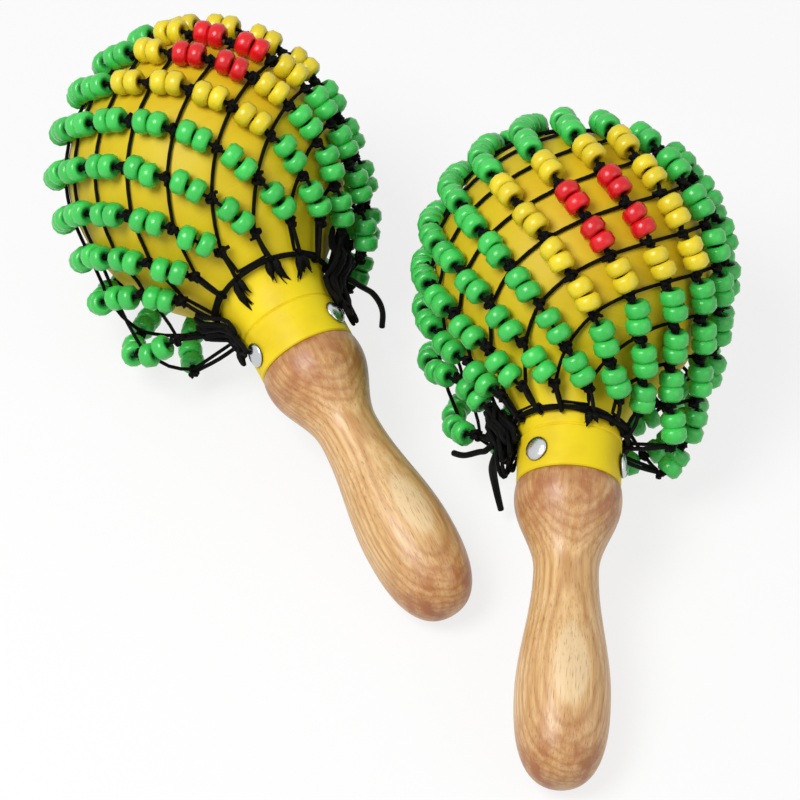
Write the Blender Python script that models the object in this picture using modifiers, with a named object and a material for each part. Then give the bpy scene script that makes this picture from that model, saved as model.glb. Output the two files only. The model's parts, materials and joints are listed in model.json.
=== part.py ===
"""A pair of beaded maracas, lying side by side on a table.

Each maraca is a hollow moulded gourd riveted to a turned wooden handle. Loose shot lies inside it, and a
knotted net, with pony beads on every other cord, is drawn round its neck. Sizes are in metres and +Z is up.
A maraca is modelled standing on its own axis, with its origin at the joint of wood and shell, and the empty
that carries it then lays it on the table.
"""

import math
from dataclasses import dataclass

import bmesh
import bpy
import numpy as np
from mathutils import Matrix, Quaternion, Vector
from mathutils.geometry import interpolate_bezier

# Gap between pieces that touch
GAP = 0.0003

# Moulded shell, heights above the joint with the wood
HEAD_RADIUS = 0.053
HEAD_CENTRE = 0.090
HEAD_RISE = 0.052
HEAD_DROP = 0.060
SHOULDER_ANGLE = math.radians(40)
SHOULDER_LEAD = 0.016
NECK_LEAD = 0.018
COLLAR_RADIUS = 0.0193
COLLAR_HEIGHT = 0.0165
GROOVE = 0.0006
WALL = 0.0025
SHELL_SIDES = 24

# Turned handle, depths below the joint
HANDLE_LENGTH = 0.116
TOP_RADIUS = 0.0199
TOP_DEPTH = 0.006
WAIST_RADIUS = 0.0119
WAIST_DEPTH = 0.034
PALM_RADIUS = 0.0173
PALM_DEPTH = 0.083
BUTT_FULLNESS = 2.5
TENON_HEIGHT = 0.0145
HANDLE_SIDES = 20

# Rivets through the collar into the tenon
RIVETS = 3
RIVET_HEIGHT = 0.0075
RIVET_HEAD_RADIUS = 0.0047
RIVET_HEAD_RISE = 0.0018
RIVET_SHANK_RADIUS = 0.0014
RIVET_LENGTH = 0.009
RIVET_SIDES = 8

# Net of cords: beaded lines cross bare ones at knots
LINES = 14
LEG_LENGTH = 0.0162
TIE_LENGTH = 0.007
CORD_RADIUS = 0.00085
KNOT_RADIUS = 0.0018
CROSSING_GAP = 0.0007
SHELL_CLEARANCE = 0.00105
CROWN_LOOP_RADIUS = 0.012
CORD_SIDES = 4

# Bag of the loose net below the head: how far round from its tight side it starts and is full, and how far
# round from the uppermost side the table starts to flatten it and has flattened it
BAG_START = math.radians(75)
BAG_FULL = math.radians(120)
FLAT_START = math.radians(120)
FLAT_FULL = math.radians(165)

# Pony beads, two to a leg
BEAD_RADIUS = 0.0045
BEAD_PITCH = 0.007
BEAD_CLEARANCE = 0.001
BEAD_NECK_RADIUS = 0.0026
STRAND_SIDES = 4

# Coloured diamond worked into the net, counted in lines and legs
MOTIF_SIZE = 4
MOTIF_LEG = 6

# Cord that draws the net round the neck
DRAW_RADIUS = 0.0014
DRAW_CLEARANCE = 0.0007
DRAW_KNOT_RADIUS = 0.0033
DRAW_SIDES = 5
TAIL_RADIUS = 0.0012

# Loose shot
SHOT = 4
SHOT_RADIUS = 0.003
SHOT_CLEARANCE = 0.0008
SHOT_SPREAD = 1.15

# Space left between the two beaded heads, and the direction from one head to the other
PAIR_GAP = 0.026
PAIR_BEARING = math.radians(160)

FINE_STEPS = 60
PROBE_TURN = math.radians(1)
PROBE_ARC = 0.0005
SHELL_STEPS = 3
CAVITY_STEPS = 2
GRIP_STEPS = 5
TAIL_STEPS = 2


@dataclass(frozen=True)
class Maraca:
    """What differs between the two: how each lies, and how its hand-tied net sits on the shell.

    Turns are angles about the maraca's axis, from the side that lies uppermost. The net has slipped round
    the head by an angle, away from the side at slip_turn. The draw cord lies at draw_share of the height of
    the head's middle on the side at draw_turn, and sags from there by up to draw_sag of it. A tail's points
    are steps outwards, round towards the table and towards the handle from the knot of the draw cord. The net
    lies tight on the side at tight_turn and bags away from the shell elsewhere, by up to a share of the head's
    radius and more on one side, by bag_lean.
    """

    tag: str
    heading: float
    draw_share: float
    draw_sag: float
    draw_turn: float
    net_turn: float
    slip: float
    slip_turn: float
    bag: float
    bag_lean: float
    tight_turn: float
    rivet_turn: float
    knot_gap: int
    tails: tuple


PAIR = (
    Maraca(
        tag="a",
        heading=math.radians(28.2),
        draw_share=0.378,
        draw_sag=0.12,
        draw_turn=math.radians(-23),
        net_turn=math.radians(120.6),
        slip=math.radians(15.6),
        slip_turn=math.radians(-26),
        bag=0.36,
        bag_lean=0.5,
        tight_turn=math.radians(-18),
        rivet_turn=math.radians(-76),
        knot_gap=1,
        tails=(
            (
                (0.0041, 0.0008, 0.0016),
                (0.0076, 0.0032, 0.0058),
                (0.01, 0.0065, 0.0071),
                (0.0123, 0.0105, 0.0082),
                (0.0139, 0.0155, 0.0108),
                (0.0141, 0.021, 0.0131),
                (0.0125, 0.027, 0.0156),
            ),
        ),
    ),
    Maraca(
        tag="b",
        heading=math.radians(-3.5),
        draw_share=0.25,
        draw_sag=0.05,
        draw_turn=math.radians(-40),
        net_turn=math.radians(118.3),
        slip=math.radians(13.8),
        slip_turn=math.radians(-99),
        bag=0.33,
        bag_lean=0.0,
        tight_turn=math.radians(-14),
        rivet_turn=math.radians(-40),
        knot_gap=8,
        tails=(
            (
                (0.0041, 0.0003, 0.0008),
                (0.0068, 0.0022, 0.0032),
                (0.0092, 0.005, 0.0036),
                (0.0116, 0.0072, 0.0028),
                (0.0171, 0.0118, 0.0018),
                (0.0201, 0.0141, 0.0006),
                (0.0231, 0.0165, -0.0014),
            ),
            (
                (0.0024, 0.0028, 0.0021),
                (0.0052, 0.0076, 0.0052),
                (0.0071, 0.0125, 0.0064),
                (0.0077, 0.0175, 0.0077),
                (0.0076, 0.022, 0.0096),
                (0.0071, 0.0268, 0.0129),
                (0.0065, 0.0312, 0.0161),
            ),
        ),
    ),
)


def collection(name, shown=True):
    """A collection of that name; one that isn't shown holds cutters and guides."""
    made = bpy.data.collections.new(name)
    made.hide_render = not shown
    bpy.context.scene.collection.children.link(made)
    return made


def material(name, colour, roughness, metallic=0.0):
    """A Principled material of that colour."""
    made = bpy.data.materials.new(name)
    made.use_nodes = True
    shader = made.node_tree.nodes["Principled BSDF"]
    shader.inputs["Base Color"].default_value = (*colour, 1.0)
    shader.inputs["Roughness"].default_value = roughness
    shader.inputs["Metallic"].default_value = metallic
    made.diffuse_color = (*colour, 1.0)
    return made


def add_object(name, data, parent, home, *finishes):
    """An object in the given collection, carried by an empty."""
    obj = bpy.data.objects.new(name, data)
    for finish in finishes:
        data.materials.append(finish)
    home.objects.link(obj)
    obj.parent = parent
    return obj


def add_empty(name, parent, home):
    """An empty that marks a joint's axis and carries the pieces that turn on it."""
    empty = bpy.data.objects.new(name, None)
    empty.empty_display_size = CROWN_LOOP_RADIUS
    home.objects.link(empty)
    empty.parent = parent
    return empty


def turned(name, outline, sides, parent, home, finish):
    """A solid turned about the local Z axis from an outline of (radius, height) points, top to bottom."""
    mesh = bpy.data.meshes.new(name)
    profile = bmesh.new()
    points = [profile.verts.new((radius, 0.0, height)) for radius, height in outline]
    for start, end in zip(points, points[1:]):
        profile.edges.new((start, end))
    profile.to_mesh(mesh)
    profile.free()
    obj = add_object(name, mesh, parent, home, finish)
    screw = obj.modifiers.new("turning", "SCREW")
    screw.steps = sides
    screw.render_steps = sides
    screw.use_merge_vertices = True
    screw.merge_threshold = 0.00001
    return obj


def subtract(obj, cutter):
    """Cuts one object out of another."""
    cut = obj.modifiers.new("cut", "BOOLEAN")
    cut.operation = "DIFFERENCE"
    cut.object = cutter


def evaluated_mesh(obj):
    """A mesh of the object with its modifiers applied and its loose caps welded."""
    bpy.context.view_layer.update()
    graph = bpy.context.evaluated_depsgraph_get()
    mesh = bpy.data.meshes.new_from_object(obj.evaluated_get(graph))
    body = bmesh.new()
    body.from_mesh(mesh)
    bmesh.ops.remove_doubles(body, verts=body.verts, dist=0.000001)
    bmesh.ops.recalc_face_normals(body, faces=body.faces)
    body.to_mesh(mesh)
    body.free()
    return mesh


def ring_guide(sides, home):
    """A flat ring of unit radius, the section that tubes of varying thickness are drawn with."""
    curve = bpy.data.curves.new(f"section_{sides}", "CURVE")
    ring = curve.splines.new("POLY")
    ring.points.add(sides - 1)
    for index, point in enumerate(ring.points):
        angle = 2 * math.pi * index / sides
        point.co = (math.cos(angle), math.sin(angle), 0.0, 1.0)
    ring.use_cyclic_u = True
    guide = add_object(curve.name, curve, None, home)
    guide.hide_render = True
    guide.display_type = "WIRE"
    return guide


def tube(name, points, radii, section, parent, home, *finishes, closed=False):
    """A tube of varying thickness along the points, as a mesh with welded caps."""
    curve = bpy.data.curves.new(name, "CURVE")
    curve.dimensions = "3D"
    curve.bevel_mode = "OBJECT"
    curve.bevel_object = section
    curve.use_fill_caps = not closed
    spline = curve.splines.new("POLY")
    spline.points.add(len(points) - 1)
    spline.use_cyclic_u = closed
    for point, place, radius in zip(spline.points, points, radii):
        point.co = (*place, 1.0)
        point.radius = radius
    line = add_object(name + "_line", curve, None, home)
    mesh = evaluated_mesh(line)
    bpy.data.objects.remove(line)
    mesh.name = name
    return add_object(name, mesh, parent, home, *finishes)


def ball(name, radius, centre):
    """A faceted ball as a mesh."""
    mesh = bpy.data.meshes.new(name)
    body = bmesh.new()
    bmesh.ops.create_icosphere(body, subdivisions=2, radius=radius, matrix=Matrix.Translation(centre))
    body.to_mesh(mesh)
    body.free()
    return mesh


def spread(start, end, count):
    """Evenly spaced values, both ends included."""
    return [start + (end - start) * step / count for step in range(count + 1)]


def shell_outline(steps):
    """The shell's outer outline, from the crown down to the joint with the wood."""
    outline = []
    for angle in spread(math.pi / 2, 0, 2 * steps):
        outline.append((HEAD_RADIUS * math.cos(angle), HEAD_CENTRE + HEAD_RISE * math.sin(angle)))
    for angle in spread(0, SHOULDER_ANGLE, steps)[1:]:
        outline.append((HEAD_RADIUS * math.cos(angle), HEAD_CENTRE - HEAD_DROP * math.sin(angle)))
    shoulder = Vector(outline[-1])
    fall = Vector((-HEAD_RADIUS * math.sin(SHOULDER_ANGLE), -HEAD_DROP * math.cos(SHOULDER_ANGLE)))
    shoulder_lead = shoulder + fall.normalized() * SHOULDER_LEAD
    collar = Vector((COLLAR_RADIUS, COLLAR_HEIGHT + GROOVE))
    neck_lead = collar + Vector((0.0, NECK_LEAD))
    neck = interpolate_bezier(shoulder, shoulder_lead, neck_lead, collar, 2 * steps)
    outline += [tuple(point) for point in neck[1:]]
    outline += [(COLLAR_RADIUS - GROOVE, COLLAR_HEIGHT), (COLLAR_RADIUS, COLLAR_HEIGHT - GROOVE)]
    return outline + [(COLLAR_RADIUS, 0.0)]


def outline_normals(outline):
    """Unit vectors that point out of an outline that runs from the crown downwards."""
    along = np.gradient(np.asarray(outline), axis=0)
    normals = np.stack([-along[:, 1], along[:, 0]], axis=1)
    normals[0] = (0.0, 1.0)
    return normals / np.linalg.norm(normals, axis=1)[:, None]


def cavity_outline(steps):
    """The wall's inner face, from the crown down to the mouth that takes the tenon."""
    outer = np.array([point for point in shell_outline(steps) if point[1] > COLLAR_HEIGHT])
    inner = outer - WALL * outline_normals(outer)
    inner[0, 0] = 0.0
    bore = COLLAR_RADIUS - WALL
    hollow = [tuple(point) for point in inner if point[0] == 0.0 or point[0] > bore]
    return hollow + [(bore, COLLAR_HEIGHT), (bore, 0.0)]


def swell(start, end):
    """Points on an easy curve from one (radius, depth) to the next, the first left out."""
    points = []
    for step in spread(0, 1, GRIP_STEPS)[1:]:
        share = (1 - math.cos(math.pi * step)) / 2
        radius = start[0] + (end[0] - start[0]) * share
        points.append((radius, -start[1] - (end[1] - start[1]) * step))
    return points


def handle_outline():
    """The handle from the tenon's top, over the shoulder and the waist, to the middle of the butt."""
    tenon = COLLAR_RADIUS - WALL - GAP
    top, waist, palm = (TOP_RADIUS, TOP_DEPTH), (WAIST_RADIUS, WAIST_DEPTH), (PALM_RADIUS, PALM_DEPTH)
    outline = [(0.0, TENON_HEIGHT), (tenon, TENON_HEIGHT), (tenon, -GAP), (COLLAR_RADIUS, -GAP)]
    eased = COLLAR_RADIUS + (TOP_RADIUS - COLLAR_RADIUS) * math.sin(math.pi / 4)
    outline += [(eased, -(GAP + TOP_DEPTH) / 2), (TOP_RADIUS, -TOP_DEPTH)]
    outline += swell(top, waist) + swell(waist, palm)
    for angle in spread(0, math.pi / 2, GRIP_STEPS)[1:-1]:
        depth = PALM_DEPTH + (HANDLE_LENGTH - PALM_DEPTH) * math.sin(angle) ** (2 / BUTT_FULLNESS)
        outline.append((PALM_RADIUS * math.cos(angle) ** (2 / BUTT_FULLNESS), -depth))
    return outline + [(0.0, -HANDLE_LENGTH)]


def eased(start, end, place):
    """How far a place lies from the start to the end, eased at both and between nought and one."""
    share = min(max((place - start) / (end - start), 0.0), 1.0)
    return share * share * (3 - 2 * share)


def radial(turn, radius, height):
    """The point at that turn about the axis, that far from it."""
    return Vector((radius * math.cos(turn), radius * math.sin(turn), height))


def rivet_outline():
    """A domed head on a plain shank, along the rivet's own axis, with the head's seat at zero."""
    outline = []
    for angle in spread(0, math.pi / 2, 3):
        outline.append((RIVET_HEAD_RADIUS * math.sin(angle), RIVET_HEAD_RISE * math.cos(angle)))
    shank = [(RIVET_SHANK_RADIUS, 0.0), (RIVET_SHANK_RADIUS, -RIVET_LENGTH), (0.0, -RIVET_LENGTH)]
    return outline + shank


def add_body(maraca, pivot, home, cutters, finishes):
    """The shell, the handle and the rivets that hold them together."""
    tag = maraca.tag
    outline = shell_outline(SHELL_STEPS) + cavity_outline(CAVITY_STEPS)[::-1]
    shell = turned(f"head_shell_{tag}", outline, SHELL_SIDES, pivot, home, finishes["shell"])
    handle = turned(f"handle_{tag}", handle_outline(), HANDLE_SIDES, pivot, home, finishes["wood"])
    hole = RIVET_SHANK_RADIUS + GAP
    top, bottom = RIVET_HEAD_RADIUS, -RIVET_LENGTH - GAP
    drill = [(0.0, top), (hole, top), (hole, bottom), (0.0, bottom)]
    metal = finishes["rivet"]
    for number in range(1, RIVETS + 1):
        turn = maraca.rivet_turn + 2 * math.pi * (number - 1) / RIVETS
        outwards = radial(turn, 1.0, 0.0).to_track_quat("Z", "Y").to_matrix().to_4x4()
        seat = Matrix.Translation(radial(turn, COLLAR_RADIUS + GAP, RIVET_HEIGHT)) @ outwards
        rivet = turned(f"rivet_{tag}_{number}", rivet_outline(), RIVET_SIDES, pivot, home, metal)
        rivet.matrix_local = seat
        cutter = turned(f"rivet_hole_{tag}_{number}", drill, RIVET_SIDES, pivot, cutters, metal)
        cutter.matrix_local = seat
        cutter.hide_render = True
        cutter.display_type = "WIRE"
        subtract(shell, cutter)
        subtract(handle, cutter)


class Net:
    """The net's surface over one shell, and where the knots of its lines lie on it.

    Rows of knots are counted from the draw cord up to the crown. From the draw cord the net first runs
    straight, clear of the hollow of the neck, or bags away from it. It has slipped round the head: by nothing
    at the draw cord, and by its full angle from the fullest part of the head upwards.
    """

    def __init__(self, maraca):
        self.maraca = maraca
        self.outline = np.array(shell_outline(FINE_STEPS))[::-1]
        self.normals = outline_normals(self.outline[::-1])[::-1]
        draw, _ = self.neck(maraca.draw_share)
        path = self.outline + self.normals * (CORD_RADIUS + SHELL_CLEARANCE)
        heights = path[:, 1]
        below = np.flatnonzero((heights > draw[1] + TIE_LENGTH) & (heights < HEAD_CENTRE))
        slopes = (path[below, 0] - draw[0]) / (path[below, 1] - draw[1])
        touch = below[int(np.argmax(slopes))]
        lead = path[touch] - draw
        lead /= np.linalg.norm(lead)
        start = draw + lead * (DRAW_RADIUS + CORD_RADIUS + GAP)
        self.path = np.vstack([start, path[touch:]])
        steps = np.linalg.norm(np.diff(self.path, axis=0), axis=1)
        self.arc = np.concatenate([[0.0], np.cumsum(steps)])
        self.full_arc = float(np.interp(HEAD_CENTRE, self.path[:, 1], self.arc))
        self.surface = np.vstack([self.path[::-1].T, outline_normals(self.path[::-1]).T])
        self.leans = np.arctan2(self.surface[0], self.surface[1] - HEAD_CENTRE)
        self.stations = [0.0] + self.row_arcs() + [self.crown_arc()]
        self.rows = len(self.stations) - 2

    def neck(self, share):
        """The draw cord's middle at a share of the height of the head's middle, and the way out from it."""
        columns = np.hstack([self.outline, self.normals]).T
        section = np.array([np.interp(share * HEAD_CENTRE, columns[1], column) for column in columns])
        return section[:2] + section[2:] * (DRAW_RADIUS + DRAW_CLEARANCE), section[2:]

    def draw_point(self, turn, lift):
        """A point on the middle of the draw cord, or lifted that far out from it."""
        fall = (1 - math.cos(turn - self.maraca.draw_turn)) / 2
        centre, out = self.neck(self.maraca.draw_share - self.maraca.draw_sag * fall)
        return radial(turn, *(centre + out * lift))

    def radius(self, arc):
        return float(np.interp(arc, self.arc, self.path[:, 0]))

    def crown_arc(self):
        """How far up the path the crown loop lies."""
        return float(np.interp(-CROWN_LOOP_RADIUS, -self.path[-FINE_STEPS:, 0], self.arc[-FINE_STEPS:]))

    def row_arcs(self):
        """Rows of knots a leg apart, for as long as the circle still has room for its beads."""
        rows = [TIE_LENGTH]
        while True:
            across = self.radius(rows[-1] + LEG_LENGTH / 2) * math.pi / LINES
            row = rows[-1] + math.sqrt(LEG_LENGTH**2 - across**2)
            crowded = self.radius(row) * 2 * math.pi / LINES < 2 * BEAD_RADIUS + 2 * GAP
            if crowded and row > self.arc[-1] / 2:
                return rows
            rows.append(row)

    def bag(self, turn, arc):
        """How far the loose net hangs off the shell: at the sides, between the neck and the fullest part."""
        full = eased(BAG_START, BAG_FULL, abs(math.remainder(turn - self.maraca.tight_turn, 2 * math.pi)))
        flat = eased(FLAT_START, FLAT_FULL, abs(math.remainder(turn, 2 * math.pi)))
        low = math.cos(min(arc / self.full_arc, 1.0) * math.pi / 2) ** 1.5
        return self.maraca.bag * HEAD_RADIUS * (1 - self.maraca.bag_lean * math.sin(turn)) * full * (1 - flat) * low

    def skin(self, turn, arc):
        """A point on the net that far up its path, slipped round the head and hanging off it."""
        height = float(np.interp(arc, self.arc, self.path[:, 1]))
        place = radial(turn, self.radius(arc), height - HEAD_CENTRE)
        share = math.sin(min(arc / self.full_arc, 1.0) * math.pi / 2)
        hinge = radial(self.maraca.slip_turn - math.pi / 2, 1.0, 0.0)
        place.rotate(Quaternion(hinge, self.maraca.slip * share))
        lean = math.atan2(place.xy.length, place.z)
        radius, height, out, up = (float(np.interp(lean, self.leans, part)) for part in self.surface)
        bag = self.bag(turn, arc)
        return radial(math.atan2(place.y, place.x), radius + bag * out, height + bag * up)

    def point(self, turn, row, lift):
        """A point lifted off the net at a row of knots; the row past the last is the crown loop."""
        arc = float(np.interp(row + 1, range(len(self.stations)), self.stations))
        around = self.skin(turn + PROBE_TURN, arc) - self.skin(turn - PROBE_TURN, arc)
        upwards = self.skin(turn, arc + PROBE_ARC) - self.skin(turn, arc - PROBE_ARC)
        return self.skin(turn, arc) + around.cross(upwards).normalized() * lift

    def line_turn(self, line, row, lean):
        """The turn of a line at a row: beaded lines lean one way and bare ones the other."""
        row = min(max(row, 0), self.rows - 1)
        return self.maraca.net_turn - line * 2 * math.pi / LINES - lean * row * math.pi / LINES

    def beaded(self, line, row, lift):
        return self.point(self.line_turn(line, row, 1), row, lift)

    def bare(self, line, row):
        """A point on a bare line; at row -1 it turns back at the draw cord."""
        turn = self.line_turn(line, row, -1)
        if row >= 0:
            return self.point(turn, row, 0.0)
        draw = self.draw_point(turn, 0.0)
        lead = self.point(turn, 0, 0.0) - draw
        return draw + lead.normalized() * (DRAW_RADIUS + CORD_RADIUS + GAP)

    def foot(self, line):
        """Where a beaded line passes over the draw cord."""
        turn = self.line_turn(line, 0, 1)
        draw = self.draw_point(turn, 0.0)
        over = radial(turn + math.pi / 2, 1.0, 0.0).cross(self.point(turn, 0, 0.0) - draw)
        return draw + over.normalized() * (DRAW_RADIUS + CORD_RADIUS + GAP)

    def knot_turn(self):
        """The middle of the gap between lines in which the draw cord is tied."""
        return self.maraca.net_turn - (self.maraca.knot_gap + 0.5) * 2 * math.pi / LINES


def bead_finish(line, leg, finishes):
    """The colour of a leg's beads: a yellow diamond with a red heart on green."""
    across = line
    up = leg + line - MOTIF_LEG
    if not (0 <= across < MOTIF_SIZE and 0 <= up < MOTIF_SIZE):
        return finishes["green"]
    heart = 0 < across < MOTIF_SIZE - 1 and 0 < up < MOTIF_SIZE - 1
    return finishes["red"] if heart else finishes["yellow"]


def add_strand(net, line, section, pivot, home, finishes):
    """One beaded line: from the draw cord, knot by knot, to the crown loop."""
    knot_lift = CORD_RADIUS + CROSSING_GAP + KNOT_RADIUS
    bead_lift = BEAD_RADIUS + BEAD_CLEARANCE - CORD_RADIUS - SHELL_CLEARANCE
    half_pitch = BEAD_PITCH / LEG_LENGTH / 2
    foot, knot = net.foot(line), net.beaded(line, 0, knot_lift)
    points = [foot, knot + (foot - knot).normalized() * 2 * KNOT_RADIUS]
    radii = [CORD_RADIUS, CORD_RADIUS]
    beads = []
    for row in range(net.rows):
        if row:
            colour = bead_finish(line, row, finishes)
            middle = row - 0.5
            for step, radius in ((-1, BEAD_RADIUS), (0, BEAD_NECK_RADIUS), (1, BEAD_RADIUS)):
                points.append(net.beaded(line, middle + step * half_pitch, bead_lift))
                radii.append(radius)
                if step:
                    beads.append((points[-1], colour))
        points.append(net.beaded(line, row, knot_lift))
        radii.append(KNOT_RADIUS)
    crown = net.beaded(line, net.rows, 0.0)
    last = points[-1]
    points.append(crown + (last - crown).normalized() * (CORD_RADIUS + GAP))
    radii.append(CORD_RADIUS)
    colours = [finishes[name] for name in ("cord", "green", "yellow", "red")]
    name = f"bead_strand_{net.maraca.tag}_{line + 1:02d}"
    strand = tube(name, points, radii, section, pivot, home, *colours)
    for face in strand.data.polygons:
        centre, colour = min(beads, key=lambda bead: (bead[0] - face.center).length)
        if (centre - face.center).length < BEAD_RADIUS:
            face.material_index = colours.index(colour)


def add_net(maraca, pivot, home, sections, finishes):
    """The draw cord, the bare cord, the crown loop and the beaded strands of one net."""
    tag = maraca.tag
    net = Net(maraca)
    for line in range(LINES):
        add_strand(net, line, sections[STRAND_SIDES], pivot, home, finishes)
    route = []
    for step in range(LINES):
        line = maraca.knot_gap + 1 + step
        rows = range(-1, net.rows) if step % 2 == 0 else range(net.rows - 1, -2, -1)
        route += [net.bare(line, row) for row in rows]
    cord = [CORD_RADIUS] * len(route)
    tube(f"net_cord_{tag}", route, cord, sections[CORD_SIDES], pivot, home, finishes["cord"])
    loop = [net.point(turn, net.rows, 0.0) for turn in spread(0, 2 * math.pi, LINES)[:-1]]
    cord = [CORD_RADIUS] * len(loop)
    tube(f"crown_cord_{tag}", loop, cord, sections[CORD_SIDES], pivot, home, finishes["cord"], closed=True)
    add_draw_cord(net, pivot, home, sections[DRAW_SIDES], finishes["cord"])


def add_draw_cord(net, pivot, home, section, finish):
    """The cord round the neck, with its knot, and the two free ends that hang from it."""
    tag = net.maraca.tag
    ring = [net.draw_point(turn, 0.0) for turn in spread(0, 2 * math.pi, SHELL_SIDES)[:-1]]
    cord = [DRAW_RADIUS] * len(ring)
    draw = tube(f"draw_cord_{tag}", ring, cord, section, pivot, home, finish, closed=True)
    turn = net.knot_turn()
    centre = net.draw_point(turn, DRAW_KNOT_RADIUS - DRAW_RADIUS)
    knot = add_object(f"draw_knot_{tag}", ball("knot", DRAW_KNOT_RADIUS, centre), pivot, home, finish)
    tie = draw.modifiers.new("tie", "BOOLEAN")
    tie.operation = "UNION"
    tie.object = knot
    draw.data = evaluated_mesh(draw)
    draw.modifiers.clear()
    bpy.data.objects.remove(knot)
    side = math.copysign(1.0, math.sin(turn))
    out = Vector((math.cos(turn), math.sin(turn), 0.0))
    axes = (out, Vector((-out.y, out.x, 0.0)) * side, Vector((0.0, 0.0, -1.0)))
    for number, steps in enumerate(net.maraca.tails, start=1):
        route = []
        for outwards, around, down in steps:
            route.append(centre + axes[0] * outwards + axes[1] * around + axes[2] * down)
        add_tail(f"cord_tail_{tag}_{number}", route, pivot, home, finish)


def add_tail(name, route, pivot, home, finish):
    """A free end of cord along a smooth curve through its route."""
    ends = [2 * route[0] - route[1], *route, 2 * route[-1] - route[-2]]
    points = [route[0]]
    for before, start, end, after in zip(ends, ends[1:], ends[2:], ends[3:]):
        leave, arrive = start + (end - before) / 6, end - (after - start) / 6
        points += interpolate_bezier(start, leave, arrive, end, TAIL_STEPS + 1)[1:]
    line = bpy.data.curves.new(name, "CURVE")
    line.dimensions = "3D"
    line.bevel_depth = TAIL_RADIUS
    line.bevel_resolution = 1
    line.use_fill_caps = True
    spline = line.splines.new("POLY")
    spline.points.add(len(points) - 1)
    for point, place in zip(spline.points, points):
        point.co = (*place, 1.0)
    add_object(name, line, pivot, home, finish)


def add_shot(maraca, pivot, pitch, home, finish):
    """Loose pellets, gathered where the wall of the lying shell is lowest."""
    wall = np.array(cavity_outline(CAVITY_STEPS))
    corner = np.arange(len(wall))
    fine = np.linspace(0, corner[-1], FINE_STEPS * corner[-1] + 1)
    cavity = np.stack([np.interp(fine, corner, wall[:, axis]) for axis in (0, 1)], axis=1)
    inward = -outline_normals(cavity)
    floor = cavity + inward * (SHOT_RADIUS + SHOT_CLEARANCE)
    lowest = int(np.argmin(floor[:, 1] * math.sin(pitch) - floor[:, 0] * math.cos(pitch)))
    pitch_arc = 2 * SHOT_RADIUS * SHOT_SPREAD
    for number in range(SHOT):
        side = number % 3 - 1
        along = (number // 3 - 0.5) * pitch_arc
        height = floor[lowest, 1] + along
        radius = float(np.interp(-height, -floor[:, 1], floor[:, 0]))
        turn = math.pi + (side + 0.5 * (number // 3)) * pitch_arc / radius
        name = f"shot_{maraca.tag}_{number + 1}"
        add_object(name, ball(name, SHOT_RADIUS, radial(turn, radius, height)), pivot, home, finish)


def corners(pivot, world=False):
    """All points of the pieces that an empty carries, as the modifiers leave them."""
    bpy.context.view_layer.update()
    graph = bpy.context.evaluated_depsgraph_get()
    found = []
    for obj in pivot.children_recursive:
        if obj.hide_render or obj.type == "EMPTY":
            continue
        mesh = obj.evaluated_get(graph).to_mesh()
        points = np.empty(3 * len(mesh.vertices))
        mesh.vertices.foreach_get("co", points)
        place = np.array(obj.matrix_world if world else pivot.matrix_world.inverted() @ obj.matrix_world)
        found.append(points.reshape(-1, 3) @ place[:3, :3].T + place[:3, 3])
    return np.vstack(found)


def resting_pitch(points):
    """The slope of the axis at which the beaded head and the handle both touch the table."""
    head, grip = points[points[:, 2] > 0], points[points[:, 2] <= 0]

    def lowest(part, pitch):
        return (part[:, 0] * math.cos(pitch) + part[:, 2] * math.sin(pitch)).min()

    low, high = 0.0, math.pi / 4
    for _ in range(40):
        middle = (low + high) / 2
        if lowest(head, middle) < lowest(grip, middle):
            low = middle
        else:
            high = middle
    return low, -lowest(points, low)


def lay_down(pivot, maraca, pitch, lift):
    """Turns a maraca from standing on its axis to lying on the table, crown away and uppermost side up."""
    lying = Matrix(
        (
            (0.0, 1.0, 0.0),
            (-math.sin(pitch), 0.0, math.cos(pitch)),
            (math.cos(pitch), 0.0, math.sin(pitch)),
        )
    ).to_4x4()
    heading = Matrix.Rotation(maraca.heading, 4, "Z")
    pivot.matrix_world = Matrix.Translation((0.0, 0.0, lift)) @ heading @ lying


def set_out(pivots):
    """Sets the heads apart and centres the pair over the origin."""
    spacing = 2 * (HEAD_RADIUS + BEAD_CLEARANCE + 2 * BEAD_RADIUS) + PAIR_GAP
    bpy.context.view_layer.update()
    first, second = pivots
    between = Vector((math.cos(PAIR_BEARING), math.sin(PAIR_BEARING), 0.0)) * spacing
    heads = [pivot.matrix_world @ Vector((0.0, 0.0, HEAD_CENTRE)) for pivot in pivots]
    shift = heads[1] + between - heads[0]
    shift.z = 0.0
    first.matrix_world = Matrix.Translation(shift) @ first.matrix_world
    box = np.vstack([corners(pivot, world=True) for pivot in pivots])
    centre = (box.min(axis=0) + box.max(axis=0)) / 2
    for pivot in pivots:
        pivot.matrix_world = Matrix.Translation((-centre[0], -centre[1], 0.0)) @ pivot.matrix_world
    bpy.context.view_layer.update()


def make_finishes():
    """The materials, by piece."""
    return {
        "shell": material("moulded_yellow_plastic", (0.84, 0.66, 0.02), 0.3),
        "wood": material("lacquered_rubberwood", (0.62, 0.36, 0.14), 0.35),
        "rivet": material("nickelled_steel", (0.75, 0.75, 0.74), 0.25, 1.0),
        "cord": material("black_waxed_cord", (0.01, 0.01, 0.01), 0.6),
        "green": material("green_pony_bead", (0.06, 0.55, 0.12), 0.3),
        "yellow": material("yellow_pony_bead", (0.86, 0.72, 0.03), 0.3),
        "red": material("red_pony_bead", (0.78, 0.02, 0.03), 0.3),
        "shot": material("steel_shot", (0.5, 0.5, 0.5), 0.4, 1.0),
    }


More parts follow.
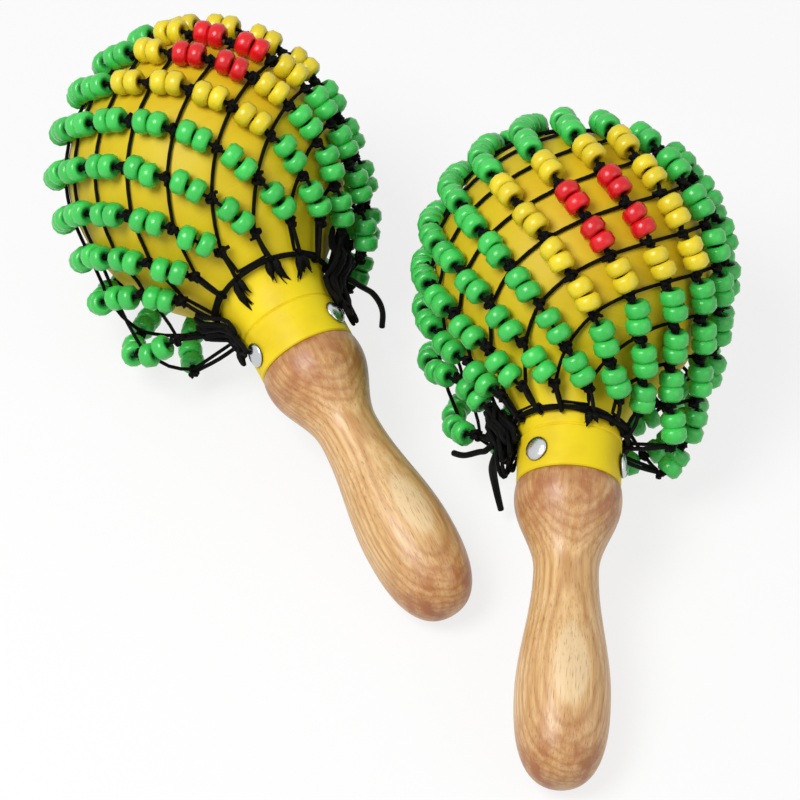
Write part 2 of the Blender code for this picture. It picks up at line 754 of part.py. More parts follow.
def main():
    for obj in list(bpy.data.objects):
        bpy.data.objects.remove(obj)
    home = collection("beaded_maracas")
    helpers = collection("cutters_and_guides", shown=False)
    finishes = make_finishes()
    sections = {sides: ring_guide(sides, helpers) for sides in {CORD_SIDES, STRAND_SIDES, DRAW_SIDES}}
    pivots = []
    for maraca in PAIR:
        pivot = add_empty(f"maraca_{maraca.tag}", None, home)
        net_pivot = add_empty(f"net_turn_{maraca.tag}", pivot, home)
        shot_pivot = add_empty(f"shot_swirl_{maraca.tag}", pivot, home)
        add_body(maraca, pivot, home, helpers, finishes)
        add_net(maraca, net_pivot, home, sections, finishes)
        pitch, lift = resting_pitch(corners(pivot))
        add_shot(maraca, shot_pivot, pitch, home, finishes["shot"])
        lay_down(pivot, maraca, pitch, lift)
        pivots.append(pivot)
    set_out(pivots)


main()
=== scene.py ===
"""Looks of a pair of beaded maracas: moulded heads on turned handles, in knotted nets of pony beads.

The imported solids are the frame. Each sub-assembly below builds its finer meshes in a maraca's own
coordinates, with +Z to the crown and +X to the side that lies uppermost, and sets them on its bodies.
Sizes are in metres and angles in radians.
"""

import json
import logging
import math
import random
from dataclasses import dataclass, field
from enum import Enum
from typing import Any, Sequence

import bmesh
import bpy
import numpy as np
from mathutils import Matrix, Quaternion, Vector
from mathutils.geometry import interpolate_bezier

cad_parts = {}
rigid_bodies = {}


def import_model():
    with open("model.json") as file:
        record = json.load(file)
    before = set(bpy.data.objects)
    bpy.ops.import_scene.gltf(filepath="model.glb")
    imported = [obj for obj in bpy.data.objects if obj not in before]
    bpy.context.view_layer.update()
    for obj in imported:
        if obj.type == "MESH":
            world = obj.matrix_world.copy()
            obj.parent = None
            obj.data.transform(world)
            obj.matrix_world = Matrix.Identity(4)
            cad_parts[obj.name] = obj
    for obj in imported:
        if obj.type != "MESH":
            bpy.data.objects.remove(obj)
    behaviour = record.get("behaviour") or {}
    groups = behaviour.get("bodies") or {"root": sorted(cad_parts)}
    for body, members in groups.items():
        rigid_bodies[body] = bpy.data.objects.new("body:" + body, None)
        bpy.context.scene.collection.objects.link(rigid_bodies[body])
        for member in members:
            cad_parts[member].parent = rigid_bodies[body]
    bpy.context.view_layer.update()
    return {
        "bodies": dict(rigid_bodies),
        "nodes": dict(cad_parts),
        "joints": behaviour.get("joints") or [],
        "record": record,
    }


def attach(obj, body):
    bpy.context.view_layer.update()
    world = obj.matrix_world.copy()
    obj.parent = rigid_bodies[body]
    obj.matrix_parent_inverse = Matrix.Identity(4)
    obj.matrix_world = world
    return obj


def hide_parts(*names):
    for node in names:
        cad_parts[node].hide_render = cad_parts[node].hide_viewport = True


Tree = bpy.types.NodeTree
Node = bpy.types.Node
Feeds = Sequence[Any] | dict[str | int, Any]
Material = bpy.types.Material
Mesh = bpy.types.Mesh
Shape = bmesh.types.BMesh
Span = tuple[float, float]
Steps = tuple[tuple[float, float, float], ...]

LOG = logging.getLogger("maracas")
FULL_TURN = 2 * math.pi
UP = Vector((0.0, 0.0, 1.0))
SIDE_BELOW = Vector((-1.0, 0.0, 0.0))
TONE = "tone"
DOUBLES = 1e-7
SHARP = math.radians(50)
ALL_SMOOTH = math.pi
SMOOTH = {"interpolation_type": "SMOOTHSTEP"}
COLOURS = {"data_type": "RGBA"}
PROBE_TURN = math.radians(1)
PROBE_ARC = 0.0005


class Bead(Enum):
    """Colour of a bead, with its place among a strand's finishes."""

    GREEN = 1
    YELLOW = 2
    RED = 3


@dataclass(frozen=True)
class Stand:
    """Where one maraca lies."""

    place: Matrix

    @classmethod
    def from_joint(cls, joint: dict[str, Any]) -> "Stand":
        """Reads the place from the joint that turns the net about the maraca's axis.

        Args:
            joint: The joint's entry in the frame.

        Returns:
            The stand, with +Z along the axis to the crown and +X as near to upright as that allows.
        """
        crown = Vector(joint["axis"]).normalized()
        upper = (UP - crown * crown.z).normalized()
        turned_axes = Matrix((upper, crown.cross(upper), crown)).transposed().to_4x4()
        return cls(Matrix.Translation(joint["pos_m"]) @ turned_axes)


def linear(code: str) -> tuple[float, float, float, float]:
    """Turns an sRGB hex code into a linear colour.

    Args:
        code: A code such as "#E0C040".

    Returns:
        Red, green, blue and an alpha of one.
    """
    shares = [int(code[place : place + 2], 16) / 255 for place in (1, 3, 5)]
    parts = [share / 12.92 if share <= 0.04045 else ((share + 0.055) / 1.055) ** 2.4 for share in shares]
    return parts[0], parts[1], parts[2], 1.0


def feed(tree: Tree, node: Node, feeds: Feeds) -> None:
    """Links or sets a node's inputs.

    Args:
        tree: The node tree.
        node: The node.
        feeds: For the inputs in their order, or by name or number: a node whose first output in use is
            linked, a socket to link or a value to set.
    """
    for name, source in feeds.items() if isinstance(feeds, dict) else enumerate(feeds):
        if isinstance(source, Node):
            source = next(output for output in source.outputs if output.enabled)
        if isinstance(source, bpy.types.NodeSocket):
            tree.links.new(source, node.inputs[name])
        else:
            node.inputs[name].default_value = source


def add_node(tree: Tree, kind: str, feeds: Feeds = (), **settings: Any) -> Node:
    """Adds a node with its settings and links.

    Args:
        tree: The node tree.
        kind: The node's type, after the word ShaderNode.
        feeds: What feeds its inputs.
        settings: Values of its own properties.

    Returns:
        The new node.
    """
    node = tree.nodes.new(f"ShaderNode{kind}")
    for name, value in settings.items():
        setattr(node, name, value)
    feed(tree, node, feeds)
    return node


def blank_material(name: str) -> tuple[Material, Tree, Node]:
    """Starts a material.

    Args:
        name: The material's name.

    Returns:
        The material, its node tree and its shader.
    """
    material = bpy.data.materials.new(name)
    material.use_nodes = True
    return material, material.node_tree, material.node_tree.nodes["Principled BSDF"]


def own_coordinates(tree: Tree, stand: Stand, turn: float = 0.0) -> Node:
    """Gives a material the coordinates of the maraca that it is on.

    Args:
        tree: The material's node tree.
        stand: Where the maraca lies.
        turn: The turn about the maraca's axis at which +X then points.

    Returns:
        The node with the coordinates, in metres.
    """
    back = Matrix.Rotation(-turn, 4, "Z") @ stand.place.inverted()
    place = add_node(tree, "TexCoord").outputs["Object"]
    # vector, location and rotation
    return add_node(tree, "Mapping", (place, back.translation, back.to_euler()))


@dataclass(frozen=True)
class MouldedShellPlastic:
    """Injection-moulded polypropylene.

    It has a soft gloss and a faint cloudiness where the resin flowed. The head is painted a deeper ochre
    than the collar, as shade from the net over it, with hair-fine scuffs that run round it, where the beads
    slide as the net is turned.
    """

    collar: str = "#F0D51C"
    # the head colour is painted shade from the net; it takes over from the collar colour between
    # head_starts and head_ends
    head: str = "#DABC20"
    cloud: str = "#C6A01F"
    scuff: str = "#EEDB52"
    head_starts: float = 0.024
    head_ends: float = 0.062
    cloud_size: float = 0.022
    # the real scuffs are finer than a pixel, so they are drawn about three times as coarse
    scuff_width: float = 0.0006
    grain_size: float = 0.0011

    def material(self, name: str, stand: Stand) -> Material:
        """Makes the material for one head.

        Args:
            name: The material's name.
            stand: Where the maraca lies.

        Returns:
            The material.
        """
        material, tree, shader = blank_material(name)
        own = own_coordinates(tree, stand)
        flow = add_node(tree, "TexNoise", {"Vector": own, "Scale": 1 / self.cloud_size, "Detail": 3.0})
        clouded = add_node(tree, "MapRange", (flow, 0.4, 0.75, 0.0, 0.45), **SMOOTH)
        axes = add_node(tree, "SeparateXYZ", (own,)).outputs
        about = add_node(tree, "Math", (axes["Y"], axes["X"]), operation="ARCTAN2")
        along = add_node(tree, "Math", (axes["Z"], self.scuff_width), operation="DIVIDE")
        round_head = add_node(tree, "CombineXYZ", (about, along))
        lines = add_node(tree, "TexNoise", {"Vector": round_head, "Scale": 1.6, "Detail": 2.0})
        scuffed = add_node(tree, "MapRange", (lines, 0.6, 0.8, 0.0, 0.4))
        # painted shade under the net: this share darkens the head from the collar colour towards the head
        # colour
        thickness = add_node(tree, "MapRange", (axes["Z"], self.head_starts, self.head_ends), **SMOOTH)
        colour = linear(self.collar)
        for share, tint in ((thickness, self.head), (clouded, self.cloud), (scuffed, self.scuff)):
            colour = add_node(tree, "Mix", {0: share, 6: colour, 7: linear(tint)}, **COLOURS)
        dulled = add_node(tree, "MapRange", (lines, 0.45, 0.8, 0.48, 0.62))
        grain = add_node(tree, "TexNoise", {"Vector": own, "Scale": 1 / self.grain_size, "Detail": 1.0})
        bump = add_node(tree, "Bump", {"Height": grain, "Strength": 0.25, "Distance": 0.00004})
        feed(tree, shader, {"Base Color": colour, "Roughness": dulled, "Normal": bump})
        feed(tree, shader, {"IOR": 1.49, "Specular IOR Level": 0.25})
        return material


@dataclass(frozen=True)
class TurnedRubberwood:
    """Turned rubberwood under clear lacquer.

    The billet is flat-sawn, so the turning cuts the growth rings into nested ovals round a pale heart of
    sapwood on the palm swell, and into long lines on the sides. Open pores show as short dark flecks, and
    the end grain of the shoulder and the butt has drunk more lacquer and is redder.
    """

    pale: str = "#E5BE88"
    early: str = "#CF9E60"
    sap: str = "#F1D6A9"
    late: str = "#A4692F"
    pore: str = "#774621"
    end_grain: str = "#A05C2C"
    ring: float = 0.002
    pith_depth: float = 0.075
    pith_aside: float = 0.006
    tilt: float = 0.07
    bow: float = 0.02
    drift_size: float = 0.018
    drift_stretch: float = 0.3
    drift: float = 0.005
    sap_drift: float = 0.001
    sap_edge: float = 0.0003
    streak_width: float = 0.0018
    streak_length: float = 0.035
    mottle_size: float = 0.007
    # where each begins and is full, as shares of the depth of the waist and of the handle's length
    palm_reach: Span = (0.9, 1.4)
    butt_reach: Span = (0.72, 1.0)
    shoulder_reach: Span = (0.3, 0.08)
    # real pores are a quarter of this wide, which would not show
    fleck_width: float = 0.0004
    fleck_length: float = 0.0055

    def material(self, name: str, stand: Stand, handle: "Handle", turn: float, sap: float) -> Material:
        """Makes the material for one handle.

        Args:
            name: The material's name.
            stand: Where the maraca lies.
            handle: The handle's sizes.
            turn: The turn about the axis of the flat-sawn face.
            sap: How deep the pale sapwood goes under the top of the palm swell.

        Returns:
            The material.
        """
        material, tree, shader = blank_material(name)
        own = own_coordinates(tree, stand, turn)
        height = add_node(tree, "SeparateXYZ", (own,)).outputs["Z"]
        colour, wander, distance = self.rings(tree, own, height)
        bowed = add_node(tree, "Math", (wander, self.sap_drift, distance), operation="MULTIPLY_ADD")
        palm_top = self.pith_depth + handle.palm_radius - self.tilt * handle.palm_depth
        sap_starts = palm_top - sap + self.sap_drift / 2
        edge = sap_starts - self.sap_edge, sap_starts + self.sap_edge
        outermost = add_node(tree, "MapRange", (bowed, *edge, 0.0, 0.7), **SMOOTH)
        reach = [-share * handle.waist_depth for share in self.palm_reach]
        palm = add_node(tree, "MapRange", (height, *reach), **SMOOTH)
        heart = add_node(tree, "Math", (outermost, palm), operation="MULTIPLY")
        reach = [-share * handle.length for share in self.butt_reach]
        butt = add_node(tree, "MapRange", (height, *reach), **SMOOTH)
        reach = [-share * handle.length for share in self.shoulder_reach]
        shoulder = add_node(tree, "MapRange", (height, *reach, 0.0, 0.85), **SMOOTH)
        ends = add_node(tree, "Math", (butt, shoulder), operation="MAXIMUM")
        blotches = add_node(tree, "TexNoise", {"Vector": own, "Scale": 1 / self.mottle_size, "Detail": 4.0})
        mottled = add_node(tree, "MapRange", (blotches, 0.38, 0.66, 0.35), **SMOOTH)
        drunk = add_node(tree, "Math", (ends, mottled), operation="MULTIPLY")
        fineness = 1 / self.fleck_width, 1 / self.fleck_width, 1 / self.fleck_length
        fibre = add_node(tree, "VectorMath", (own, fineness), operation="MULTIPLY")
        open_pores = add_node(tree, "TexNoise", {"Vector": fibre, "Scale": 1.0, "Detail": 2.0})
        flecks = add_node(tree, "MapRange", (open_pores, 0.55, 0.75, 0.0, 0.6))
        for share, tint in ((heart, self.sap), (drunk, self.end_grain), (flecks, self.pore)):
            colour = add_node(tree, "Mix", {0: share, 6: colour, 7: linear(tint)}, **COLOURS)
        sheen = add_node(tree, "MapRange", (open_pores, 0.3, 0.75, 0.36, 0.52))
        bump = add_node(tree, "Bump", {"Height": flecks, "Strength": 0.3, "Distance": 0.00012}, invert=True)
        feed(tree, shader, {"Base Color": colour, "Roughness": sheen, "Normal": bump})
        feed(tree, shader, {"Coat Weight": 0.25, "Coat Roughness": 0.34})
        return material

    def rings(self, tree: Tree, own: Node, height: bpy.types.NodeSocket) -> tuple[Node, Node, Node]:
        """Makes the growth rings and the streaks between them.

        Args:
            tree: The material's node tree.
            own: The handle's coordinates.
            height: Their last part, along the axis.

        Returns:
            The ringed colour, the noise by which the rings wander and the distance from the tilted pith.
        """
        slow = add_node(tree, "VectorMath", (own, (1.0, 1.0, self.drift_stretch)), operation="MULTIPLY")
        wander = add_node(tree, "TexNoise", {"Vector": slow, "Scale": 1 / self.drift_size, "Detail": 4.0})
        pith = self.pith_depth, self.pith_aside, 0.0
        from_pith = add_node(tree, "VectorMath", (own, pith), operation="ADD")
        across = add_node(tree, "VectorMath", (from_pith, (1.0, 1.0, self.bow)), operation="MULTIPLY")
        straight = add_node(tree, "VectorMath", (across,), operation="LENGTH")
        distance = add_node(tree, "Math", (height, self.tilt, straight), operation="MULTIPLY_ADD")
        drifted = add_node(tree, "Math", (wander, self.drift, distance), operation="MULTIPLY_ADD")
        rings = add_node(tree, "Math", (drifted, self.ring), operation="DIVIDE")
        season = add_node(tree, "Math", (rings, 0.5), operation="PINGPONG")
        summer = add_node(tree, "MapRange", (season, 0.18, 0.5, 0.0, 0.42), **SMOOTH)
        fineness = 1 / self.streak_width, 1 / self.streak_width, 1 / self.streak_length
        grain = add_node(tree, "VectorMath", (own, fineness), operation="MULTIPLY")
        streaks = add_node(tree, "TexNoise", {"Vector": grain, "Scale": 1.0, "Detail": 3.0})
        shade = add_node(tree, "MapRange", (streaks, 0.3, 0.7), **SMOOTH)
        colour = linear(self.pale)
        for share, tint in ((shade, self.early), (summer, self.late)):
            colour = add_node(tree, "Mix", {0: share, 6: colour, 7: linear(tint)}, **COLOURS)
        return colour, wander, distance


@dataclass(frozen=True)
class PolishedNickel:
    """Nickel-plated steel, pressed and tumbled bright, with a painted shadow line under the rim of each
    head.
    """

    bright: str = "#C9CBCC"
    shadow_colour: str = "#55534F"
    scratch_size: float = 0.0008

    def material(self, name: str) -> Material:
        """Makes the material; its tone attribute is one on the dome and falls to zero under the rim, where
        shadow is painted.
        """
        material, tree, shader = blank_material(name)
        place = add_node(tree, "TexCoord").outputs["Object"]
        marks = add_node(tree, "TexNoise", {"Vector": place, "Scale": 1 / self.scratch_size, "Detail": 3.0})
        tone = add_node(tree, "Attribute", attribute_name=TONE).outputs["Fac"]
        shadow_colour, bright = linear(self.shadow_colour), linear(self.bright)
        # painted shadow under each rivet's rim, where the tone is zero; the shot, which has no tone, takes
        # the shadow colour all over
        plated = add_node(tree, "Mix", {0: tone, 6: shadow_colour, 7: bright}, **COLOURS)
        rough = add_node(tree, "MapRange", (marks, 0.3, 0.7, 0.16, 0.32))
        feed(tree, shader, {"Base Color": plated, "Roughness": rough, "Metallic": 1.0})
        return material


@dataclass(frozen=True)
class MouldedPonyBead:
    """Injection-moulded polystyrene.

    It is glossy and slightly milky, in a tone that varies from bead to bead, with painted shade in the
    bore.
    """

    colour: str
    # the beads' darker tone, and at tone zero the painted shade in the bore
    deep: str
    swirl_size: float = 0.004

    def material(self, name: str) -> Material:
        """Makes the material; its tone attribute is zero in the bore, where shade is painted, and up to one
        outside.
        """
        material, tree, shader = blank_material(name)
        place = add_node(tree, "TexCoord").outputs["Object"]
        swirl = add_node(tree, "TexNoise", {"Vector": place, "Scale": 1 / self.swirl_size, "Detail": 2.0})
        tone = add_node(tree, "Attribute", attribute_name=TONE).outputs["Fac"]
        mixed = add_node(tree, "Math", (swirl, 0.2, tone), operation="MULTIPLY_ADD", use_clamp=True)
        tinted = add_node(tree, "Mix", {0: mixed, 6: linear(self.deep), 7: linear(self.colour)}, **COLOURS)
        rough = add_node(tree, "MapRange", (swirl, 0.3, 0.7, 0.22, 0.34))
        feed(tree, shader, {"Base Color": tinted, "Roughness": rough})
        feed(tree, shader, {"IOR": 1.55, "Specular IOR Level": 0.4})
        return material


@dataclass(frozen=True)
class WaxedBraid:
    """Black waxed braid: near-black, dull, with the crossing plaits of the braid standing out in relief and
    a painted highlight on their crowns.
    """

    colour: str = "#040404"
    plait_highlight: str = "#0F0F0E"
    # plaits are drawn about twice as coarse as the real ones, so that they show
    plait: float = 0.0021
    plaits_round: int = 3

    def material(self, name: str) -> Material:
        """Makes the material; the cords' own UV map gives metres along the cord and turns round it."""
        material, tree, shader = blank_material(name)
        lay = add_node(tree, "SeparateXYZ", (add_node(tree, "TexCoord").outputs["UV"],)).outputs
        along = add_node(tree, "Math", (lay["X"], FULL_TURN / self.plait), operation="MULTIPLY")
        crossings = []
        for hand in (FULL_TURN, -FULL_TURN):
            turns = lay["Y"], hand * self.plaits_round, along
            angle = add_node(tree, "Math", turns, operation="MULTIPLY_ADD")
            crossings.append(add_node(tree, "Math", (angle,), operation="SINE"))
        plaited = add_node(tree, "Math", crossings, operation="MAXIMUM")
        lit = add_node(tree, "MapRange", (plaited, -0.2, 1.0))
        # painted highlight on the crowns of the raised plaits
        tinted = add_node(tree, "Mix", {0: lit, 6: linear(self.colour), 7: linear(self.plait_highlight)}, **COLOURS)
        bump = add_node(tree, "Bump", {"Height": lit, "Strength": 0.5, "Distance": 0.0002})
        feed(tree, shader, {"Base Color": tinted, "Normal": bump})
        feed(tree, shader, {"Roughness": 0.6, "Specular IOR Level": 0.08})
        return material


def radial(turn: float, radius: float = 1.0, height: float = 0.0) -> Vector:
    """The point at that turn about the axis, that far from it and at that height."""
    return Vector((radius * math.cos(turn), radius * math.sin(turn), height))


def smooth_step(start: float, end: float, place: float) -> float:
    """Rises smoothly from nothing at the start to one at the end."""
    share = min(max((place - start) / (end - start), 0.0), 1.0)
    return share * share * (3 - 2 * share)


def spread(start: float, end: float, count: int) -> list[float]:
    """Evenly spaced values, both ends included."""
    return [start + (end - start) * step / count for step in range(count + 1)]


def write_out(shape: Shape, mesh: Mesh) -> Mesh:
    """Writes a shape into a mesh, frees the shape and gives the mesh back."""
    shape.to_mesh(mesh)
    shape.free()
    return mesh


def toned_shape() -> Shape:
    """Starts a shape whose points have a tone."""
    shape = bmesh.new()
    shape.verts.layers.float.new(TONE)
    return shape


def add_object(name: str, data: bpy.types.ID) -> bpy.types.Object:
    """Puts an object of that name with that data into the scene."""
    item = bpy.data.objects.new(name, data)
    bpy.context.scene.collection.objects.link(item)
    return item


def turned(outline: Sequence[Sequence[float]], segments: int, closed: bool = False) -> Shape:
    """Turns an outline about the Z axis.

    Args:
        outline: Points of radius and height.
        segments: How many faces go round.
        closed: Whether the last point joins the first, as on a ring.

    Returns:
        The turned body.
    """
    body = bmesh.new()
    points = [body.verts.new((radius, 0.0, height)) for radius, height in outline]
    edges = [body.edges.new(pair) for pair in zip(points, points[1:])]
    if closed:
        edges.append(body.edges.new((points[-1], points[0])))
    bmesh.ops.spin(
        body, geom=points + edges, cent=(0, 0, 0), axis=UP, angle=FULL_TURN, steps=segments, use_merge=True
    )
    bmesh.ops.remove_doubles(body, verts=body.verts, dist=DOUBLES)
    bmesh.ops.recalc_face_normals(body, faces=body.faces)
    return body


def cord_mesh(
    points: Sequence[Vector],
    radius: float,
    sides: int = 6,
    closed: bool = False,
    swell: Sequence[float] | None = None,
) -> Mesh:
    """Makes a round cord along a line.

    Args:
        points: The points that the cord runs through.
        radius: The cord's radius.
        sides: An even number of faces round it, four or more.
        closed: Whether it runs back to its start.
        swell: At each point, the share of the radius that the cord has there.

    Returns:
        The mesh, whose UV map gives metres along the cord and turns round it.
    """
    line = bpy.data.curves.new("cord", "CURVE")
    line.dimensions = "3D"
    line.bevel_depth = radius
    line.bevel_resolution = (sides - 4) // 2
    line.use_fill_caps = not closed
    spline = line.splines.new("POLY")
    spline.points.add(len(points) - 1)
    spline.use_cyclic_u = closed
    for knot, place, share in zip(spline.points, points, swell or [1.0] * len(points)):
        knot.co = (*place, 1.0)
        knot.radius = share
    guide = add_object("cord", line)
    bpy.context.view_layer.update()
    graph = bpy.context.evaluated_depsgraph_get()
    mesh = bpy.data.meshes.new_from_object(guide.evaluated_get(graph))
    bpy.data.objects.remove(guide)
    bpy.data.curves.remove(line)
    mesh.materials.clear()
    length = sum((end - start).length for start, end in zip(points, points[1:]))
    body = bmesh.new()
    body.from_mesh(mesh)
    lay = body.loops.layers.uv.active
    for face in body.faces:
        for corner in face.loops:
            about, along = corner[lay].uv
            corner[lay].uv = (along * length, about)
    bmesh.ops.remove_doubles(body, verts=body.verts, dist=DOUBLES)
    bmesh.ops.recalc_face_normals(body, faces=body.faces)
    return write_out(body, mesh)


def eased(route: Sequence[Vector], steps: int) -> list[Vector]:
    """Draws a smooth line through a route.

    Args:
        route: The points to pass through.
        steps: How many parts each stretch is cut into.

    Returns:
        The points of the line, those of the route among them.
    """
    ends = [2 * route[0] - route[1], *route, 2 * route[-1] - route[-2]]
    points = [route[0]]
    for before, start, end, after in zip(ends, ends[1:], ends[2:], ends[3:]):
        leave, arrive = start + (end - before) / 6, end - (after - start) / 6
        points += interpolate_bezier(start, leave, arrive, end, steps + 1)[1:]
    return points


def facing(centre: Vector, along: Vector, out: Vector) -> Matrix:
    """Places a small shape.

    Args:
        centre: Where its origin goes.
        along: Where its Z axis points.
        out: Roughly where its X axis points.

    Returns:
        The matrix that places it.
    """
    ahead = along.normalized()
    side = ahead.cross(out).normalized()
    axes = Matrix((side.cross(ahead), side, ahead)).transposed().to_4x4()
    return Matrix.Translation(centre) @ axes


def add_piece(
    name: str,
    mesh: Mesh | Shape,
    stand: Stand,
    finishes: Sequence[Material],
    body: str,
    stands_for: Sequence[str],
    crease: float = SHARP,
) -> bpy.types.Object:
    """Sets a finished piece on its body.

    Args:
        name: The piece's name.
        mesh: Its shape, in the maraca's own coordinates.
        stand: Where the maraca lies.
        finishes: The materials, in the order that the faces count them.
        body: The body that it rides on.
        stands_for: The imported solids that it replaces.
        crease: The angle from which an edge shows as sharp.

    Returns:
        The piece's object.
    """
    if isinstance(mesh, Shape):
        mesh = write_out(mesh, bpy.data.meshes.new(name))
    mesh.name = name
    mesh.transform(stand.place)
    for finish in finishes:
        mesh.materials.append(finish)
    mesh.shade_smooth()
    mesh.set_sharp_from_angle(angle=crease)
    piece = add_object(name, mesh)
    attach(piece, body)
    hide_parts(*stands_for)
    LOG.info("%s: %d faces on %s", name, len(mesh.polygons), body)
    return piece


@dataclass
class Casting:
    """A small shape that a piece repeats, with a tone for each of its points."""

    mesh: Mesh
    tones: list[float]

    @classmethod
    def of_cord(cls, *meshes: Mesh) -> "Casting":
        """Joins lengths of cord into one casting."""
        body = bmesh.new()
        for mesh in meshes:
            body.from_mesh(mesh)
        joined = write_out(body, meshes[0])
        return cls(joined, [0.0] * len(joined.vertices))

    def set_into(self, body: Shape, place: Matrix, finish: int = 0, tone: float = 1.0) -> None:
        """Adds one copy to a piece.

        Args:
            body: The piece's shape, with a tone layer.
            place: Where the copy goes.
            finish: The number of its material.
            tone: What its own tones are multiplied by.
        """
        first_point, first_face = len(body.verts), len(body.faces)
        body.from_mesh(self.mesh)
        body.verts.ensure_lookup_table()
        body.faces.ensure_lookup_table()
        points = body.verts[first_point:]
        bmesh.ops.transform(body, matrix=place, verts=points)
        layer = body.verts.layers.float[TONE]
        for point, own in zip(points, self.tones):
            point[layer] = own * tone
        for face in body.faces[first_face:]:
            face.material_index = finish


@dataclass(frozen=True)
class PonyBead:
    """Short barrel with a wide bore; its ends are narrower than its waist and dished towards the bore."""

    radius: float = 0.0048
    length: float = 0.006
    bore: float = 0.0014
    # shares: the ends' radius, the straight length, the bore's length and how far out the bore's painted
    # shade reaches
    end: float = 0.74
    flat: float = 0.52
    dish: float = 0.85
    dark: float = 1.2
    segments: int = 12

    def cast(self) -> Casting:
        """The bead along the Z axis, with a tone of nothing in its bore, where shade is painted."""
        half = self.length / 2
        upper = [(self.bore, self.dish * half), (self.end * self.radius, half)]
        upper.append((self.radius, self.flat * half))
        outline = upper + [(radius, -height) for radius, height in upper[::-1]]
        mesh = write_out(turned(outline, self.segments, closed=True), bpy.data.meshes.new("bead"))
        # points within the bore get tone zero: painted shade
        outside = [point.co.xy.length >= self.dark * self.bore for point in mesh.vertices]
        return Casting(mesh, [float(tone) for tone in outside])


@dataclass(frozen=True)
class FrayedEnd:
    """Frayed end of cord: a stub that opens out to a soft point, with a few loose threads.

    The spans are drawn from, as shares of its length, and the others are shares of its length and radius
    from its start to its tip.
    """

    radius: float
    threads: int = 3
    bend_out: Span = (-0.05, 0.15)
    bend_aside: Span = (-0.4, 0.4)
    lean_out: Span = (0.0, 0.1)
    lean_aside: Span = (-0.14, 0.14)
    reach: Span = (0.8, 1.1)
    shares: tuple[float, ...] = (0.0, 0.25, 0.55, 0.8, 1.0)
    stub: tuple[float, ...] = (0.9, 2.0, 1.8, 0.8, 0.12)
    thread: tuple[float, ...] = (0.6, 0.55, 0.5, 0.35, 0.15)

    def cast(self, length: float, seed: random.Random) -> Casting:
        """Makes one end, which hangs along -Z.

        Args:
            length: How long it is.
            seed: What varies it.

        Returns:
            The end.
        """
        bend = Vector((seed.uniform(*self.bend_out), seed.uniform(*self.bend_aside), 0.0)) * length
        meshes = []
        for thread in range(self.threads):
            lean = Vector((seed.uniform(*self.lean_out), seed.uniform(*self.lean_aside), 0.0)) * length
            reach = length * seed.uniform(*self.reach)
            points = [bend * share**2 + lean * share - UP * reach * share for share in self.shares]
            meshes.append(cord_mesh(points, self.radius, 4, swell=self.thread if thread else self.stub))
        return Casting.of_cord(*meshes)


@dataclass(frozen=True)
class HeadShell:
    """Hollow moulded gourd, with a collar that takes the handle's tenon."""

    radius: float = 0.053
    centre: float = 0.090
    rise: float = 0.052
    drop: float = 0.060
    shoulder_angle: float = math.radians(40)
    shoulder_lead: float = 0.016
    neck_lead: float = 0.018
    collar_radius: float = 0.0193
    collar_height: float = 0.0165
    groove: float = 0.0006
    wall: float = 0.0025
    lip: float = 0.0005
    crease: float = math.radians(25)
    steps: int = 14
    segments: int = 96

    def outline(self, steps: int) -> list[tuple[float, float]]:
        """The outer outline down to the joint.

        Args:
            steps: How finely the curves are cut.

        Returns:
            Points of radius and height, from the crown down.
        """
        outline = []
        for angle in spread(math.pi / 2, 0, 2 * steps):
            outline.append((self.radius * math.cos(angle), self.centre + self.rise * math.sin(angle)))
        for angle in spread(0, self.shoulder_angle, steps)[1:]:
            outline.append((self.radius * math.cos(angle), self.centre - self.drop * math.sin(angle)))
        shoulder = Vector(outline[-1])
        inwards, down = math.sin(self.shoulder_angle), math.cos(self.shoulder_angle)
        fall = Vector((-self.radius * inwards, -self.drop * down))
        collar = Vector((self.collar_radius, self.collar_height + self.groove))
        leads = shoulder + fall.normalized() * self.shoulder_lead, collar + Vector((0.0, self.neck_lead))
        outline += [tuple(point) for point in interpolate_bezier(shoulder, *leads, collar, 2 * steps)[1:]]
        groove = self.collar_radius - self.groove
        outline += [(groove, self.collar_height), (self.collar_radius, self.collar_height - self.groove)]
        return outline + [(self.collar_radius, 0.0)]

    @staticmethod
    def normals(outline: Sequence[Sequence[float]]) -> np.ndarray:
        """Unit vectors that point out of an outline that runs from the crown down."""
        along = np.gradient(np.asarray(outline), axis=0)
        out = np.stack([-along[:, 1], along[:, 0]], axis=1)
        out[0] = (0.0, 1.0)
        return out / np.linalg.norm(out, axis=1)[:, None]

    def build(self) -> Shape:
        """The shell with its wall and an eased lip at the joint."""
        outer = self.outline(self.steps)
        upper = np.array([point for point in outer if point[1] > self.collar_height])
        inner = upper - self.wall * self.normals(upper)
        inner[0, 0] = 0.0
        bore = self.collar_radius - self.wall
        hollow = [tuple(point) for point in inner if point[0] == 0.0 or point[0] > bore]
        lip = [(self.collar_radius, self.lip), (self.collar_radius - self.lip, 0.0)]
        rim = [(bore, 0.0), (bore, self.collar_height)]
        return turned(outer[:-1] + lip + rim + hollow[::-1], self.segments)


